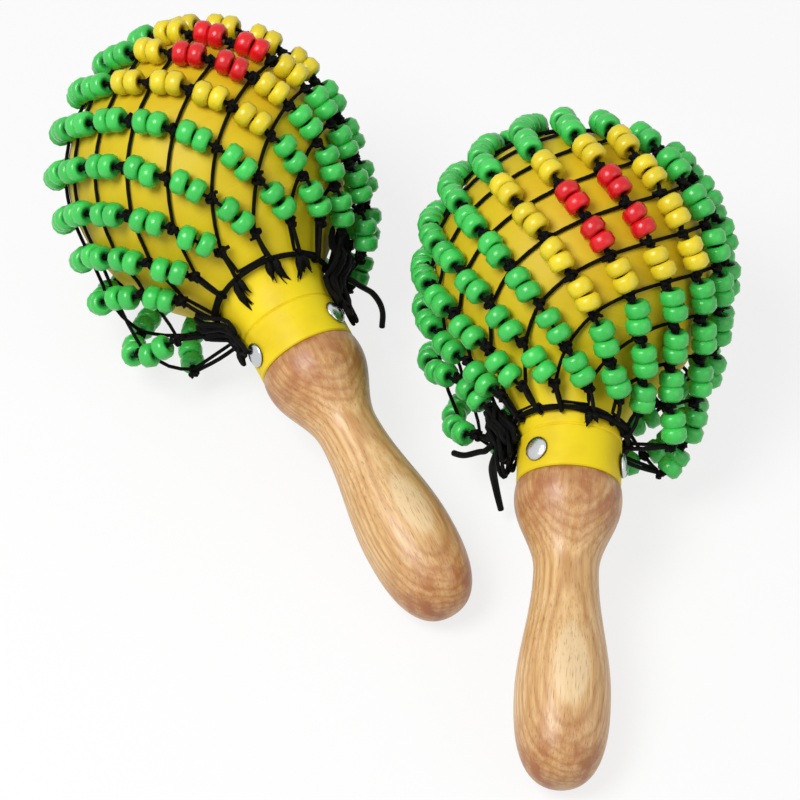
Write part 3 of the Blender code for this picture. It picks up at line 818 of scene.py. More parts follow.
@dataclass(frozen=True)
class Handle:
    """Turned handle: a tenon, a shoulder at the joint, a waist, a palm swell and a round butt."""

    shell: HeadShell
    length: float = 0.116
    top_radius: float = 0.0199
    top_depth: float = 0.006
    waist_radius: float = 0.0119
    waist_depth: float = 0.034
    palm_radius: float = 0.0173
    palm_depth: float = 0.083
    fullness: float = 2.5
    tenon_height: float = 0.0145
    gap: float = 0.0003
    edge_steps: int = 6
    steps: int = 18
    segments: int = 72

    def swell(self, start: tuple[float, float], end: tuple[float, float]) -> list[tuple[float, float]]:
        """An easy curve between two places on the outline.

        Args:
            start: Radius and depth where it starts.
            end: Radius and depth where it ends.

        Returns:
            Its points of radius and height, the first left out.
        """
        points = []
        for step in spread(0, 1, self.steps)[1:]:
            share = (1 - math.cos(math.pi * step)) / 2
            points.append((start[0] + (end[0] - start[0]) * share, -start[1] - (end[1] - start[1]) * step))
        return points

    def build(self) -> Shape:
        """The handle as turned."""
        tenon = self.shell.collar_radius - self.shell.wall - self.gap
        seat = self.shell.collar_radius - self.shell.lip
        outline = [(0.0, self.tenon_height), (tenon, self.tenon_height)]
        outline += [(tenon, -self.gap), (seat, -self.gap)]
        for angle in spread(0, math.pi / 2, self.edge_steps):
            radius = seat + (self.top_radius - seat) * math.sin(angle)
            outline.append((radius, -self.gap - (self.top_depth - self.gap) * (1 - math.cos(angle))))
        top, waist = (self.top_radius, self.top_depth), (self.waist_radius, self.waist_depth)
        palm = (self.palm_radius, self.palm_depth)
        outline += self.swell(top, waist) + self.swell(waist, palm)
        for angle in spread(0, math.pi / 2, self.steps)[1:-1]:
            reach = math.sin(angle) ** (2 / self.fullness)
            depth = self.palm_depth + (self.length - self.palm_depth) * reach
            outline.append((self.palm_radius * math.cos(angle) ** (2 / self.fullness), -depth))
        return turned(outline + [(0.0, -self.length)], self.segments)


@dataclass(frozen=True)
class Rivet:
    """Domed rivet through the collar into the tenon."""

    shell: HeadShell
    height: float = 0.0075
    head_radius: float = 0.0047
    head_rise: float = 0.0018
    rim: float = 0.0003
    # as shares of the rim: where its bevel ends, and how far up its painted shadow reaches
    bevel: float = 0.4
    shadow_reach: float = 1.4
    shank_radius: float = 0.0014
    length: float = 0.009
    seat: float = 0.0003
    dome_steps: int = 9
    segments: int = 32

    def build(self, turn: float) -> Shape:
        """One rivet in its place.

        Args:
            turn: Its turn about the maraca's axis.

        Returns:
            The rivet, with a tone that is low under its rim, where shadow is painted.
        """
        outline = []
        for angle in spread(0, math.pi / 2, self.dome_steps):
            rise = self.rim + (self.head_rise - self.rim) * math.cos(angle)
            outline.append((self.head_radius * math.sin(angle), rise))
        outline += [(self.head_radius, self.bevel * self.rim), (self.head_radius - self.rim, 0.0)]
        outline += [(self.shank_radius, 0.0), (self.shank_radius, -self.length), (0.0, -self.length)]
        body = turned(outline, self.segments)
        layer = body.verts.layers.float.new(TONE)
        for point in body.verts:
            # painted shadow: tone zero under the rim
            point[layer] = 1.0 if point.co.z > self.shadow_reach * self.rim else 0.0
        out = radial(turn)
        seat = radial(turn, self.shell.collar_radius + self.seat, self.height)
        bmesh.ops.transform(body, matrix=facing(seat, out, UP), verts=body.verts)
        return body


@dataclass(frozen=True)
class Bunch:
    """Loops of spare cord gathered on the draw cord.

    They lie about a turn within a spread, rise and fall from the draw cord and stand out no more than a
    depth.
    """

    loops: int
    turn: float
    spread: float
    rise: float
    fall: float
    depth: float


@dataclass(frozen=True)
class NetSetting:
    """How one net sits on its head.

    The draw cord sags away from its own turn, and the net bags away from the shell at the sides, away from
    the turn where it is tight. A tail's points are steps outwards, round towards the table and towards the
    handle from the knot of the draw cord, and its taper gives the shares of its radius at both ends.
    """

    tag: str
    draw_share: float
    draw_sag: float
    draw_turn: float
    net_turn: float
    slip: float
    slip_turn: float
    bag: float
    bag_lean: float
    tight_turn: float
    knot_gap: int
    draw_braids: tuple[float, ...]
    frayed: dict[int, tuple[float, ...]]
    bunches: tuple[Bunch, ...]
    tails: tuple[Steps, ...]
    tail_radii: tuple[float, ...]
    tail_tapers: tuple[Span, ...]


@dataclass(frozen=True)
class Looseness:
    """How far the hand-made net varies from place to place: spreads, reaches to both sides and spans."""

    bead_aside: float = 0.0004
    bead_nod: float = 0.03
    bead_swing: float = 0.08
    bead_stretch: Span = (0.95, 1.03)
    bead_tone: Span = (0.65, 0.9)
    knot_rise: Span = (1.0, 1.35)
    knot_scale: Span = (0.92, 1.12)
    tie_turn: float = 0.07
    tie_bow: float = 0.0008
    frayed_aside: float = 0.002
    loop_thickness: Span = (0.75, 1.1)
    loop_rise: Span = (0.3, 1.0)
    loop_fall: Span = (0.4, 1.0)
    loop_width: Span = (0.0008, 0.0036)
    loop_lean: float = 0.45
    loop_depth: float = 0.0014


@dataclass
class BeadNet:
    """Knotted net, in which beaded cords cross bare ones at knots.

    It runs from a draw cord at the neck to a loop at the crown. Where a cord is tied, knotted or looped,
    its thickness is given as a share of the braid's.
    """

    setting: NetSetting
    shell: HeadShell
    rivet: Rivet
    lines: int = 14
    leg: float = 0.0162
    tie: float = 0.007
    cord_radius: float = 0.00085
    shell_clearance: float = 0.00105
    crown_radius: float = 0.012
    braid_radius: float = 0.00072
    pony: PonyBead = PonyBead()
    bead_pitch: float = 0.0057
    bead_lift: float = 0.0051
    bead_room: float = 0.0045
    knot_size: float = 0.002
    knot_lift: float = 0.0019
    knot_stub: Steps = ((0.0, 0.0, 0.0005), (0.002, 0.0006, 0.0004), (0.0034, 0.0001, -0.0006))
    knot_share: float = 1.2
    tie_share: float = 1.15
    tie_rise: float = 0.0005
    wrap_share: float = 0.5
    crown_share: float = 1.3
    crown_knot_scale: float = 0.8
    crown_knot_lift: float = 0.0008
    crown_knot_turn: float = 1.7
    slack: float = 0.0007
    draw_radius: float = 0.0014
    draw_clearance: float = 0.0007
    draw_knot_radius: float = 0.0033
    draw_knot_size: float = 0.0031
    draw_knot_share: float = 0.95
    draw_knot_lift: float = 0.0006
    draw_twists: int = 3
    draw_sway: Span = (1.25, 0.75)
    motif: int = 4
    motif_leg: int = 6
    gap: float = 0.0003
    fine: int = 60
    knot_points: int = 16
    draw_knot_points: int = 28
    ring_points: int = 90
    crown_points: int = 56
    wrap_points: int = 10
    loop_points: int = 20
    loop_crossing: Span = (-0.005, 0.001)
    bag_fade: float = 1.5
    bag_from: Span = (math.radians(75), math.radians(120))
    flat_from: Span = (math.radians(120), math.radians(165))
    loose: Looseness = Looseness()
    bead: Casting = field(init=False)
    knot: Casting = field(init=False)
    wrap: Casting = field(init=False)

    def __post_init__(self) -> None:
        """Lays the net's surface over the shell and makes the shapes that it repeats."""
        outline = np.array(self.shell.outline(self.fine))[::-1]
        out = self.shell.normals(outline[::-1])[::-1]
        self.sections = np.hstack([outline, out]).T
        draw, _ = self.neck(self.setting.draw_share)
        path = outline + out * (self.cord_radius + self.shell_clearance)
        slope = np.flatnonzero((path[:, 1] > draw[1] + self.tie) & (path[:, 1] < self.shell.centre))
        leans = (path[slope, 0] - draw[0]) / (path[slope, 1] - draw[1])
        touch = slope[int(np.argmax(leans))]
        lead = (path[touch] - draw) / np.linalg.norm(path[touch] - draw)
        start = draw + lead * (self.draw_radius + self.cord_radius + self.gap)
        self.path = np.vstack([start, path[touch:]])
        steps = np.linalg.norm(np.diff(self.path, axis=0), axis=1)
        self.arc = np.concatenate([[0.0], np.cumsum(steps)])
        self.full_arc = float(np.interp(self.shell.centre, self.path[:, 1], self.arc))
        self.surface = np.vstack([self.path[::-1].T, self.shell.normals(self.path[::-1]).T])
        self.leans = np.arctan2(self.surface[0], self.surface[1] - self.shell.centre)
        top = slice(-self.fine, None)
        crown = float(np.interp(-self.crown_radius, -self.path[top, 0], self.arc[top]))
        self.stations = [0.0] + self.row_arcs() + [crown]
        self.rows = len(self.stations) - 2
        self.bead = self.pony.cast()
        tied = self.knot_mesh(self.knot_size, self.knot_share * self.braid_radius, self.knot_points)
        stub = cord_mesh([Vector(point) for point in self.knot_stub], self.braid_radius, 4)
        self.knot = Casting.of_cord(tied, stub)
        braids = self.setting.draw_braids
        self.bundle = braids[0] if len(braids) == 1 else self.draw_radius
        self.wrap = Casting.of_cord(self.wrap_mesh())

    def neck(self, share: float) -> tuple[np.ndarray, np.ndarray]:
        """Where the draw cord would lie on the neck.

        Args:
            share: How high it lies, as a share of the height of the head's middle.

        Returns:
            Its middle and the way out from it, each as radius and height.
        """
        height = share * self.shell.centre
        section = np.array([np.interp(height, self.sections[1], part) for part in self.sections])
        return section[:2] + section[2:] * (self.draw_radius + self.draw_clearance), section[2:]

    def radius_at(self, arc: float) -> float:
        """How far from the axis the net lies, that far up its surface."""
        return float(np.interp(arc, self.arc, self.path[:, 0]))

    def row_arcs(self) -> list[float]:
        """How far up the surface each row of knots lies, for as long as its beads have room."""
        rows = [self.tie]
        while True:
            across = self.radius_at(rows[-1] + self.leg / 2) * math.pi / self.lines
            row = rows[-1] + math.sqrt(self.leg**2 - across**2)
            room = self.radius_at(row) * FULL_TURN / self.lines
            if room < 2 * (self.bead_room + self.gap) and row > self.arc[-1] / 2:
                return rows
            rows.append(row)

    def bag(self, turn: float, arc: float) -> float:
        """How far the loose net hangs off the shell.

        Args:
            turn: The turn about the axis before the net slipped.
            arc: How far up the net's surface.

        Returns:
            The distance, most at the sides near the draw cord, and none below where the maraca lies on it.
        """
        setting = self.setting
        full = smooth_step(*self.bag_from, abs(math.remainder(turn - setting.tight_turn, FULL_TURN)))
        flat = smooth_step(*self.flat_from, abs(math.remainder(turn, FULL_TURN)))
        low = math.cos(min(arc / self.full_arc, 1.0) * math.pi / 2) ** self.bag_fade
        most = setting.bag * self.shell.radius * (1 - setting.bag_lean * math.sin(turn))
        return most * full * (1 - flat) * low

    def skin(self, turn: float, arc: float) -> Vector:
        """A point on the net's surface, slipped round the head and bagged.

        Args:
            turn: The turn about the axis before the net slipped.
            arc: How far up the surface.

        Returns:
            The point.
        """
        height = float(np.interp(arc, self.arc, self.path[:, 1]))
        place = radial(turn, self.radius_at(arc), height - self.shell.centre)
        share = math.sin(min(arc / self.full_arc, 1.0) * math.pi / 2)
        hinge = radial(self.setting.slip_turn - math.pi / 2)
        place.rotate(Quaternion(hinge, self.setting.slip * share))
        lean = math.atan2(place.xy.length, place.z)
        radius, height, out, up = (float(np.interp(lean, self.leans, part)) for part in self.surface)
        bag = self.bag(turn, arc)
        return radial(math.atan2(place.y, place.x), radius + bag * out, height + bag * up)

    def point(self, turn: float, row: float, lift: float) -> Vector:
        """A point on the net.

        Args:
            turn: The turn about the axis before the net slipped.
            row: The row of knots; -1 is the draw cord, and the row past the last is the crown loop.
            lift: How far it stands off the middle of a cord that lies on the shell.

        Returns:
            The point.
        """
        arc = float(np.interp(row + 1, range(len(self.stations)), self.stations))
        around = self.skin(turn + PROBE_TURN, arc) - self.skin(turn - PROBE_TURN, arc)
        upwards = self.skin(turn, arc + PROBE_ARC) - self.skin(turn, arc - PROBE_ARC)
        return self.skin(turn, arc) + around.cross(upwards).normalized() * lift

    def turn_of(self, line: int, row: float, lean: int) -> float:
        """The turn of a line at a row: beaded lines lean one way (1) and bare ones the other (-1)."""
        row = min(max(row, 0), self.rows - 1)
        return self.setting.net_turn - (line * 2 + lean * row) * math.pi / self.lines

    def beaded(self, line: int, row: float, lift: float) -> Vector:
        """A point on a beaded line."""
        return self.point(self.turn_of(line, row, 1), row, lift)

    def out_of(self, line: int, row: float) -> Vector:
        """The direction that points off the shell at a place on a beaded line."""
        return (self.beaded(line, row, 0.001) - self.beaded(line, row, 0.0)).normalized()

    def colour_of(self, line: int, leg: int) -> Bead:
        """The colour of a leg's beads: a yellow diamond with a red heart on green."""
        up = leg + line - self.motif_leg
        if not (line < self.motif and 0 <= up < self.motif):
            return Bead.GREEN
        heart = 0 < line < self.motif - 1 and 0 < up < self.motif - 1
        return Bead.RED if heart else Bead.YELLOW

    @staticmethod
    def knot_mesh(size: float, radius: float, count: int) -> Mesh:
        """An overhand knot pulled tight.

        Args:
            size: How far the middle of its cord reaches from its centre.
            radius: The cord's radius.
            count: How many points its cord has.

        Returns:
            The knot, flat across its Z axis.
        """
        route = []
        for step in range(count):
            angle = FULL_TURN * step / count
            across = math.sin(angle) + 2 * math.sin(2 * angle)
            along = math.cos(angle) - 2 * math.cos(2 * angle)
            route.append(Vector((across, along, -1.3 * math.sin(3 * angle))) * size / 3)
        return cord_mesh(route, radius, 4, closed=True)

    def wrap_mesh(self) -> Mesh:
        """A turn of thin cord round the draw cord, whose run is its Z axis."""
        reach = self.bundle + self.wrap_share * self.braid_radius
        route = [radial(turn, reach) for turn in spread(0, FULL_TURN, self.wrap_points)[:-1]]
        return cord_mesh(route, self.braid_radius, 4, closed=True)

    def draw_point(self, turn: float, lift: float = 0.0) -> Vector:
        """A point on the draw cord, or that far outside its middle."""
        fall = (1 - math.cos(turn - self.setting.draw_turn)) / 2
        centre, out = self.neck(self.setting.draw_share - self.setting.draw_sag * fall)
        return radial(turn, *(centre + out * lift))

    def draw_over(self, turn: float) -> Vector:
        """The direction in which the net's lines cross over the draw cord there."""
        lead = self.point(turn, 0, 0.0) - self.draw_point(turn)
        return radial(turn + math.pi / 2).cross(lead).normalized()

    def strand(self, line: int) -> Shape:
        """One beaded line, from its tie on the draw cord to the crown loop.

        Args:
            line: The line's number, from zero.

        Returns:
            The strand, whose first finish is cord and whose others are the bead colours.
        """
        seed, loose = random.Random(f"strand {self.setting.tag} {line}"), self.loose
        body = toned_shape()
        lift = self.bead_lift - self.cord_radius - self.shell_clearance
        reach = (self.bead_pitch + self.pony.length) / 2 / self.leg
        route = [self.beaded(line, 0, self.knot_lift)]
        for row in range(1, self.rows):
            colour = self.colour_of(line, row)
            for side in (-0.5, 0.5):
                place = row - 0.5 + side * self.bead_pitch / self.leg
                along = self.beaded(line, place + 0.1, lift) - self.beaded(line, place - 0.1, lift)
                out = self.out_of(line, place)
                across = along.cross(out).normalized()
                centre = self.beaded(line, place, lift) + across * seed.gauss(0, loose.bead_aside)
                nod, swing = seed.gauss(0, loose.bead_nod), seed.gauss(0, loose.bead_swing)
                along += (out * nod + across * swing) * along.length
                stretch = Matrix.Diagonal((1.0, 1.0, seed.uniform(*loose.bead_stretch), 1.0))
                turn = Matrix.Rotation(seed.uniform(0, FULL_TURN), 4, "Z")
                seat = facing(centre, along, out) @ turn @ stretch
                self.bead.set_into(body, seat, colour.value, seed.uniform(*loose.bead_tone))
            route += [self.beaded(line, row - 0.5 + side * reach, lift) for side in (-1, 1)]
            route.append(self.beaded(line, row, self.knot_lift))
        route.append(self.beaded(line, self.rows, 0.0))
        for row in range(self.rows):
            along = self.beaded(line, row + 0.1, 0.0) - self.beaded(line, row - 0.1, 0.0)
            out = self.out_of(line, row)
            turn = Matrix.Rotation(seed.uniform(0, FULL_TURN), 4, "Z")
            size = Matrix.Diagonal((1.0, 1.0, seed.uniform(*loose.knot_rise), 1.0))
            size *= seed.uniform(*loose.knot_scale)
            size[3][3] = 1.0
            seat = facing(self.beaded(line, row, self.knot_lift), out, along)
            self.knot.set_into(body, seat @ turn @ size)
        body.from_mesh(cord_mesh(route, self.braid_radius, 6))
        self.tie_on(body, line, seed)
        return body

    def tie_on(self, body: Shape, line: int, seed: random.Random) -> None:
        """Ties a strand to the draw cord and leaves its frayed ends hanging.

        Args:
            body: The strand's shape.
            line: The line's number.
            seed: What varies it.
        """
        loose = self.loose
        knot = self.beaded(line, 0, self.knot_lift)
        foot = self.turn_of(line, 0, 1) + seed.uniform(-loose.tie_turn, loose.tie_turn)
        draw, over = self.draw_point(foot), self.draw_over(foot)
        about = radial(foot + math.pi / 2)
        end = draw + over * (self.bundle + self.wrap_share * self.braid_radius)
        aside = about * seed.uniform(-loose.tie_bow, loose.tie_bow)
        bow = (knot + end) / 2 + over * self.tie_rise + aside
        body.from_mesh(cord_mesh(eased([knot, bow, end], 3), self.tie_share * self.braid_radius, 6))
        self.wrap.set_into(body, facing(draw, about, over))
        for length in self.setting.frayed.get(line, ()):
            end = FrayedEnd(self.cord_radius).cast(length, seed)
            aside = about * seed.uniform(-loose.frayed_aside, loose.frayed_aside)
            down = SIDE_BELOW - over * SIDE_BELOW.dot(over)
            end.set_into(body, facing(draw + over * self.bundle + aside, over.cross(about) - down, over))

    def bare(self, line: int, row: float, lift: float) -> Vector:
        """A point on a bare line, which leaves the draw cord at its own sagging height."""
        turn = self.turn_of(line, row, -1)
        if row >= 0:
            return self.point(turn, row, lift)
        draw = self.draw_point(turn)
        knot = self.point(turn, 0, 0.0)
        start = draw + (knot - draw).normalized() * (self.bundle + self.braid_radius)
        return start.lerp(knot, row + 1)

    def bare_cord(self) -> Mesh:
        """The bare cord, which runs up one line and down the next from knot to knot."""
        route = []
        for step in range(self.lines):
            line = self.setting.knot_gap + 1 + step
            onward = -1 if step % 2 else 1
            for row in range(-1, self.rows)[::onward]:
                for share in (0.0, 0.25, 0.5, 0.75):
                    place = row + onward * share
                    if -1 <= place <= self.rows - 1:
                        route.append(self.bare(line, place, -self.slack if share else 0.0))
        return cord_mesh(route, self.braid_radius, 6)

    def crown_loop(self) -> Shape:
        """The loop that gathers the lines at the crown, with a knot where each is tied."""
        body = toned_shape()
        turns = spread(0, FULL_TURN, self.crown_points)[:-1]
        route = [self.point(turn, self.rows, 0.0) for turn in turns]
        body.from_mesh(cord_mesh(route, self.crown_share * self.braid_radius, 8, closed=True))
        for line in range(self.lines):
            out = self.out_of(line, self.rows)
            along = self.beaded(line, self.rows, 0.0) - self.beaded(line, self.rows - 1, 0.0)
            turn = Matrix.Rotation(line * self.crown_knot_turn, 4, "Z")
            seat = facing(self.beaded(line, self.rows, self.crown_knot_lift), out, along)
            self.knot.set_into(body, seat @ (turn @ Matrix.Scale(self.crown_knot_scale, 4)))
        return body

    def knot_turn(self) -> float:
        """The turn of the draw cord's knot, between two lines."""
        return self.setting.net_turn - (self.setting.knot_gap + 0.5) * FULL_TURN / self.lines

    def knot_centre(self) -> Vector:
        """The middle of the draw cord's knot."""
        return self.draw_point(self.knot_turn(), self.draw_knot_radius - self.draw_radius)

    def draw_cord(self) -> Shape:
        """The cord round the neck, with the knot that ties it and the loops bunched at the knot."""
        seed = random.Random(f"draw cord {self.setting.tag}")
        body = toned_shape()
        for number, radius in enumerate(self.setting.draw_braids):
            ring = []
            for turn in spread(0, FULL_TURN, self.ring_points)[:-1]:
                sway = (self.bundle - radius) * (self.draw_sway[0] + self.draw_sway[1] * math.sin(2 * turn))
                aside = self.draw_twists * turn + math.pi * number
                ring.append(self.draw_point(turn, sway * math.cos(aside)) + UP * sway * math.sin(aside))
            body.from_mesh(cord_mesh(ring, radius, 10, closed=True))
        centre, turn = self.knot_centre(), self.knot_turn()
        out, about = radial(turn), radial(turn + math.pi / 2)
        thickness = self.draw_knot_share * self.draw_radius
        tied = Casting.of_cord(self.knot_mesh(self.draw_knot_size, thickness, self.draw_knot_points))
        tied.set_into(body, facing(centre + out * self.draw_knot_lift, about, out))
        for bunch in self.setting.bunches:
            for _ in range(bunch.loops):
                body.from_mesh(self.spare_loop(bunch, seed))
        return body

    def spare_loop(self, bunch: Bunch, seed: random.Random) -> Mesh:
        """One loop of spare cord.

        Args:
            bunch: The bunch that it is in.
            seed: What varies it.

        Returns:
            The loop, which hangs over the draw cord.
        """
        loose = self.loose
        turn = bunch.turn + seed.uniform(-1, 1) * bunch.spread
        thickness = seed.uniform(*loose.loop_thickness) * self.setting.draw_braids[0]
        over_rivets = self.rivet.seat + self.rivet.head_rise + thickness + self.gap
        rivet_top = self.rivet.height + self.rivet.head_radius + thickness
        draw = self.draw_point(turn)
        top = bunch.rise * seed.uniform(*loose.loop_rise)
        bottom = -bunch.fall * seed.uniform(*loose.loop_fall)
        width, lean = seed.uniform(*loose.loop_width), seed.uniform(-loose.loop_lean, loose.loop_lean)
        off = seed.uniform(loose.loop_depth, bunch.depth)
        loop = []
        for angle in spread(0, FULL_TURN, self.loop_points)[:-1]:
            height = draw.z + (top + bottom) / 2 + (top - bottom) / 2 * math.sin(angle)
            shell = float(np.interp(height, self.sections[1], self.sections[0]))
            net = float(np.interp(height, self.path[:, 1], self.path[:, 0]))
            radius = shell + (net - shell) * smooth_step(*self.loop_crossing, height - draw.z)
            side = width * math.cos(angle) + lean * (height - draw.z)
            clear = over_rivets * smooth_step(rivet_top + self.tie / 2, rivet_top, height)
            stand_off = max(off * (0.75 + 0.25 * math.cos(angle)), clear)
            loop.append(radial(turn + side / radius, radius + stand_off, height))
        return cord_mesh(loop, thickness, 6, closed=True)

    def tail_route(self, number: int) -> list[Vector]:
        """The line of a free end of the draw cord.

        Args:
            number: Which of the net's tails it is, from zero.

        Returns:
            Its points, from inside the knot outwards.
        """
        turn = self.knot_turn()
        out = radial(turn)
        about = radial(turn + math.pi / 2) * math.copysign(1.0, math.sin(turn))
        centre = self.knot_centre()
        route = [centre]
        for outwards, towards_table, towards_handle in self.setting.tails[number]:
            route.append(centre + out * outwards + about * towards_table - UP * towards_handle)
        return eased(route, 4)


@dataclass(frozen=True)
class Palette:
    """The materials that both maracas share."""

    cord: Material
    beads: dict[Bead, Material]
    nickel: Material
    shot: Material

    @classmethod
    def mix(cls) -> "Palette":
        """Makes the shared materials."""
        beads = {
            Bead.GREEN: MouldedPonyBead("#3FCB55", "#0E6A2B").material("polystyrene green"),
            Bead.YELLOW: MouldedPonyBead("#EDD728", "#9A7A0E").material("polystyrene yellow"),
            Bead.RED: MouldedPonyBead("#E5141E", "#6E080D").material("polystyrene red"),
        }
        return cls(
            WaxedBraid().material("waxed braid black"),
            beads,
            PolishedNickel().material("nickel plated steel"),
            PolishedNickel(bright="#9A9B9C", shadow_colour="#6E6E6E").material("steel shot"),
        )


@dataclass
class Maraca:
    """One maraca of the pair, with its net and the shot inside it."""

    setting: NetSetting
    rivet_turn: float
    grain_turn: float
    sapwood: float
    rivets: int = 3

    def build(self, frame: dict[str, Any], palette: Palette) -> None:
        """Builds every piece and sets it on its body.

        Args:
            frame: The loaded frame.
            palette: The shared materials.
        """
        tag = self.setting.tag
        joint = next(joint for joint in frame["joints"] if joint["name"] == f"net_turn_{tag}")
        stand = Stand.from_joint(joint)
        shell = HeadShell()
        rivet = Rivet(shell)
        net = BeadNet(self.setting, shell, rivet)
        self.add_body(shell, rivet, stand, palette)
        self.add_tails(net, stand, palette)
        self.add_net(net, stand, palette)
        for name, node in frame["nodes"].items():
            if name.startswith(f"shot_{tag}"):
                for slot in node.material_slots:
                    slot.material = palette.shot

    def add_tails(self, net: BeadNet, stand: Stand, palette: Palette) -> None:
        """Adds the free ends of the draw cord.

        Args:
            net: The net that they belong to.
            stand: Where the maraca lies.
            palette: The shared materials.
        """
        tag = self.setting.tag
        for number in range(len(self.setting.tails)):
            route = net.tail_route(number)
            name = f"cord_tail_{tag}_{number + 1}"
            radius = self.setting.tail_radii[number]
            swell = spread(*self.setting.tail_tapers[number], len(route) - 1)
            mesh = cord_mesh(route, radius, 10, swell=swell)
            piece = f"free_end_{tag}_{number + 1}"
            tail = add_piece(piece, mesh, stand, [palette.cord], f"net_{tag}", [name])

    def add_body(self, shell: HeadShell, rivet: Rivet, stand: Stand, palette: Palette) -> None:
        """Adds the shell, the handle and the rivets.

        Args:
            shell: The shell's sizes.
            rivet: The rivets' sizes.
            stand: Where the maraca lies.
            palette: The shared materials.
        """
        tag = self.setting.tag
        body = f"maraca_{tag}"
        plastic = MouldedShellPlastic().material(f"polypropylene yellow {tag}", stand)
        head = [f"head_shell_{tag}"]
        add_piece(f"gourd_{tag}", shell.build(), stand, [plastic], body, head, shell.crease)
        handle = Handle(shell)
        cut = self.grain_turn, self.sapwood
        wood = TurnedRubberwood().material(f"rubberwood {tag}", stand, handle, *cut)
        add_piece(f"grip_{tag}", handle.build(), stand, [wood], body, [f"handle_{tag}"])
        for number in range(self.rivets):
            shape = rivet.build(self.rivet_turn + FULL_TURN * number / self.rivets)
            name = f"rivet_{tag}_{number + 1}"
            add_piece(f"domed_{name}", shape, stand, [palette.nickel], body, [name])

    def add_net(self, net: BeadNet, stand: Stand, palette: Palette) -> None:
        """Adds the strands, the bare cord, the crown loop and the draw cord.

        Args:
            net: The net.
            stand: Where the maraca lies.
            palette: The shared materials.
        """
        tag = self.setting.tag
        body = f"net_{tag}"
        finishes = [palette.cord] + [palette.beads[bead] for bead in Bead]
        for line in range(net.lines):
            name, shape = f"bead_strand_{tag}_{line + 1:02d}", net.strand(line)
            add_piece(f"strung_{name}", shape, stand, finishes, body, [name], ALL_SMOOTH)
        cords = (
            ("bare_cord", net.bare_cord(), "net_cord", SHARP),
            ("crown_loop", net.crown_loop(), "crown_cord", ALL_SMOOTH),
            ("neck_cord", net.draw_cord(), "draw_cord", ALL_SMOOTH),
        )
        for piece, shape, node, crease in cords:
            name = f"{piece}_{tag}"
            add_piece(name, shape, stand, [palette.cord], body, [f"{node}_{tag}"], crease)


@dataclass(frozen=True)
class Lamp:
    """Square soft lamp: where it hangs, the length of its sides and its power in watts."""

    name: str
    place: tuple[float, float, float]
    size: float
    power: float


@dataclass(frozen=True)
class Studio:
    """Plain pale floor, soft light and the camera at the photograph's angle."""

    target: tuple[float, float, float] = (0.00486, -0.00099, 0.04)
    distance: float = 1.1
    elevation: float = math.radians(49.71)
    azimuth: float = math.radians(1.38)
    roll: float = math.radians(1.03)
    focal_pixels: float = 2920.0
    image_pixels: float = 800.0
    sensor_mm: float = 36.0
    floor_size: float = 4.0
    floor_glow: float = 0.8
    world_light: float = 0.27
    key: Lamp = Lamp("key", (-0.55, -0.35, 1.15), size=0.6, power=14.3)
    fill: Lamp = Lamp("fill", (0.9, -0.5, 0.7), size=0.9, power=2.6)

    def add_camera(self) -> None:
        """Sets the camera up."""
        level = math.cos(self.elevation)
        level_x, level_y = math.sin(self.azimuth) * level, math.cos(self.azimuth) * level
        ahead = Vector((level_x, level_y, -math.sin(self.elevation)))
        right = Matrix.Rotation(-self.roll, 3, ahead) @ ahead.cross(UP).normalized()
        above = right.cross(ahead)
        axes = Matrix((right, above, -ahead)).transposed().to_4x4()
        data = bpy.data.cameras.new("camera")
        data.sensor_width = self.sensor_mm
        data.lens = self.focal_pixels / self.image_pixels * self.sensor_mm
        camera = add_object("camera", data)
        camera.matrix_world = Matrix.Translation(Vector(self.target) - ahead * self.distance) @ axes
        bpy.context.scene.camera = camera

    def add_light(self) -> None:
        """Hangs a large soft lamp above and to the left, and a weaker one to the right."""
        for lamp in (self.key, self.fill):
            data = bpy.data.lights.new(lamp.name, "AREA")
            data.size = lamp.size
            data.energy = lamp.power
            aim = (Vector(self.target) - Vector(lamp.place)).to_track_quat("-Z", "Y")
            place = Matrix.Translation(lamp.place) @ aim.to_matrix().to_4x4()
            add_object(lamp.name, data).matrix_world = place

    @staticmethod
    def seen_directly(tree: Tree) -> Node:
        """A node that gives one for what the camera sees straight, in a reflection or through glass.

        Args:
            tree: The node tree.

        Returns:
            The node.
        """
        rays = add_node(tree, "LightPath").outputs
        seen = add_node(tree, "Math", (rays["Is Camera Ray"], rays["Is Glossy Ray"]), operation="MAXIMUM")
        return add_node(tree, "Math", (seen, rays["Is Transmission Ray"]), operation="MAXIMUM")

    def add_backdrop(self) -> None:
        """Lays the floor and lights the world behind it evenly white."""
        white = linear("#FFFFFF")
        world = bpy.data.worlds.new("studio")
        world.use_nodes = True
        bpy.context.scene.world = world
        tree = world.node_tree
        strength = add_node(tree, "MapRange", (self.seen_directly(tree), 0.0, 1.0, self.world_light, 1.0))
        feed(tree, tree.nodes["Background"], {"Color": white, "Strength": strength})
        material, tree, shader = blank_material("white card")
        feed(tree, shader, {"Base Color": linear("#EFEFEF"), "Roughness": 0.9})
        glow = add_node(tree, "Emission", {"Color": white, "Strength": 1.0})
        share = add_node(tree, "Math", (self.seen_directly(tree), self.floor_glow), operation="MULTIPLY")
        lit = add_node(tree, "MixShader", (share, shader, glow))
        feed(tree, tree.nodes["Material Output"], {"Surface": lit})
        card = bmesh.new()
        bmesh.ops.create_grid(card, x_segments=1, y_segments=1, size=self.floor_size)
        mesh = write_out(card, bpy.data.meshes.new("floor"))
        mesh.materials.append(material)
        floor = add_object("floor", mesh)


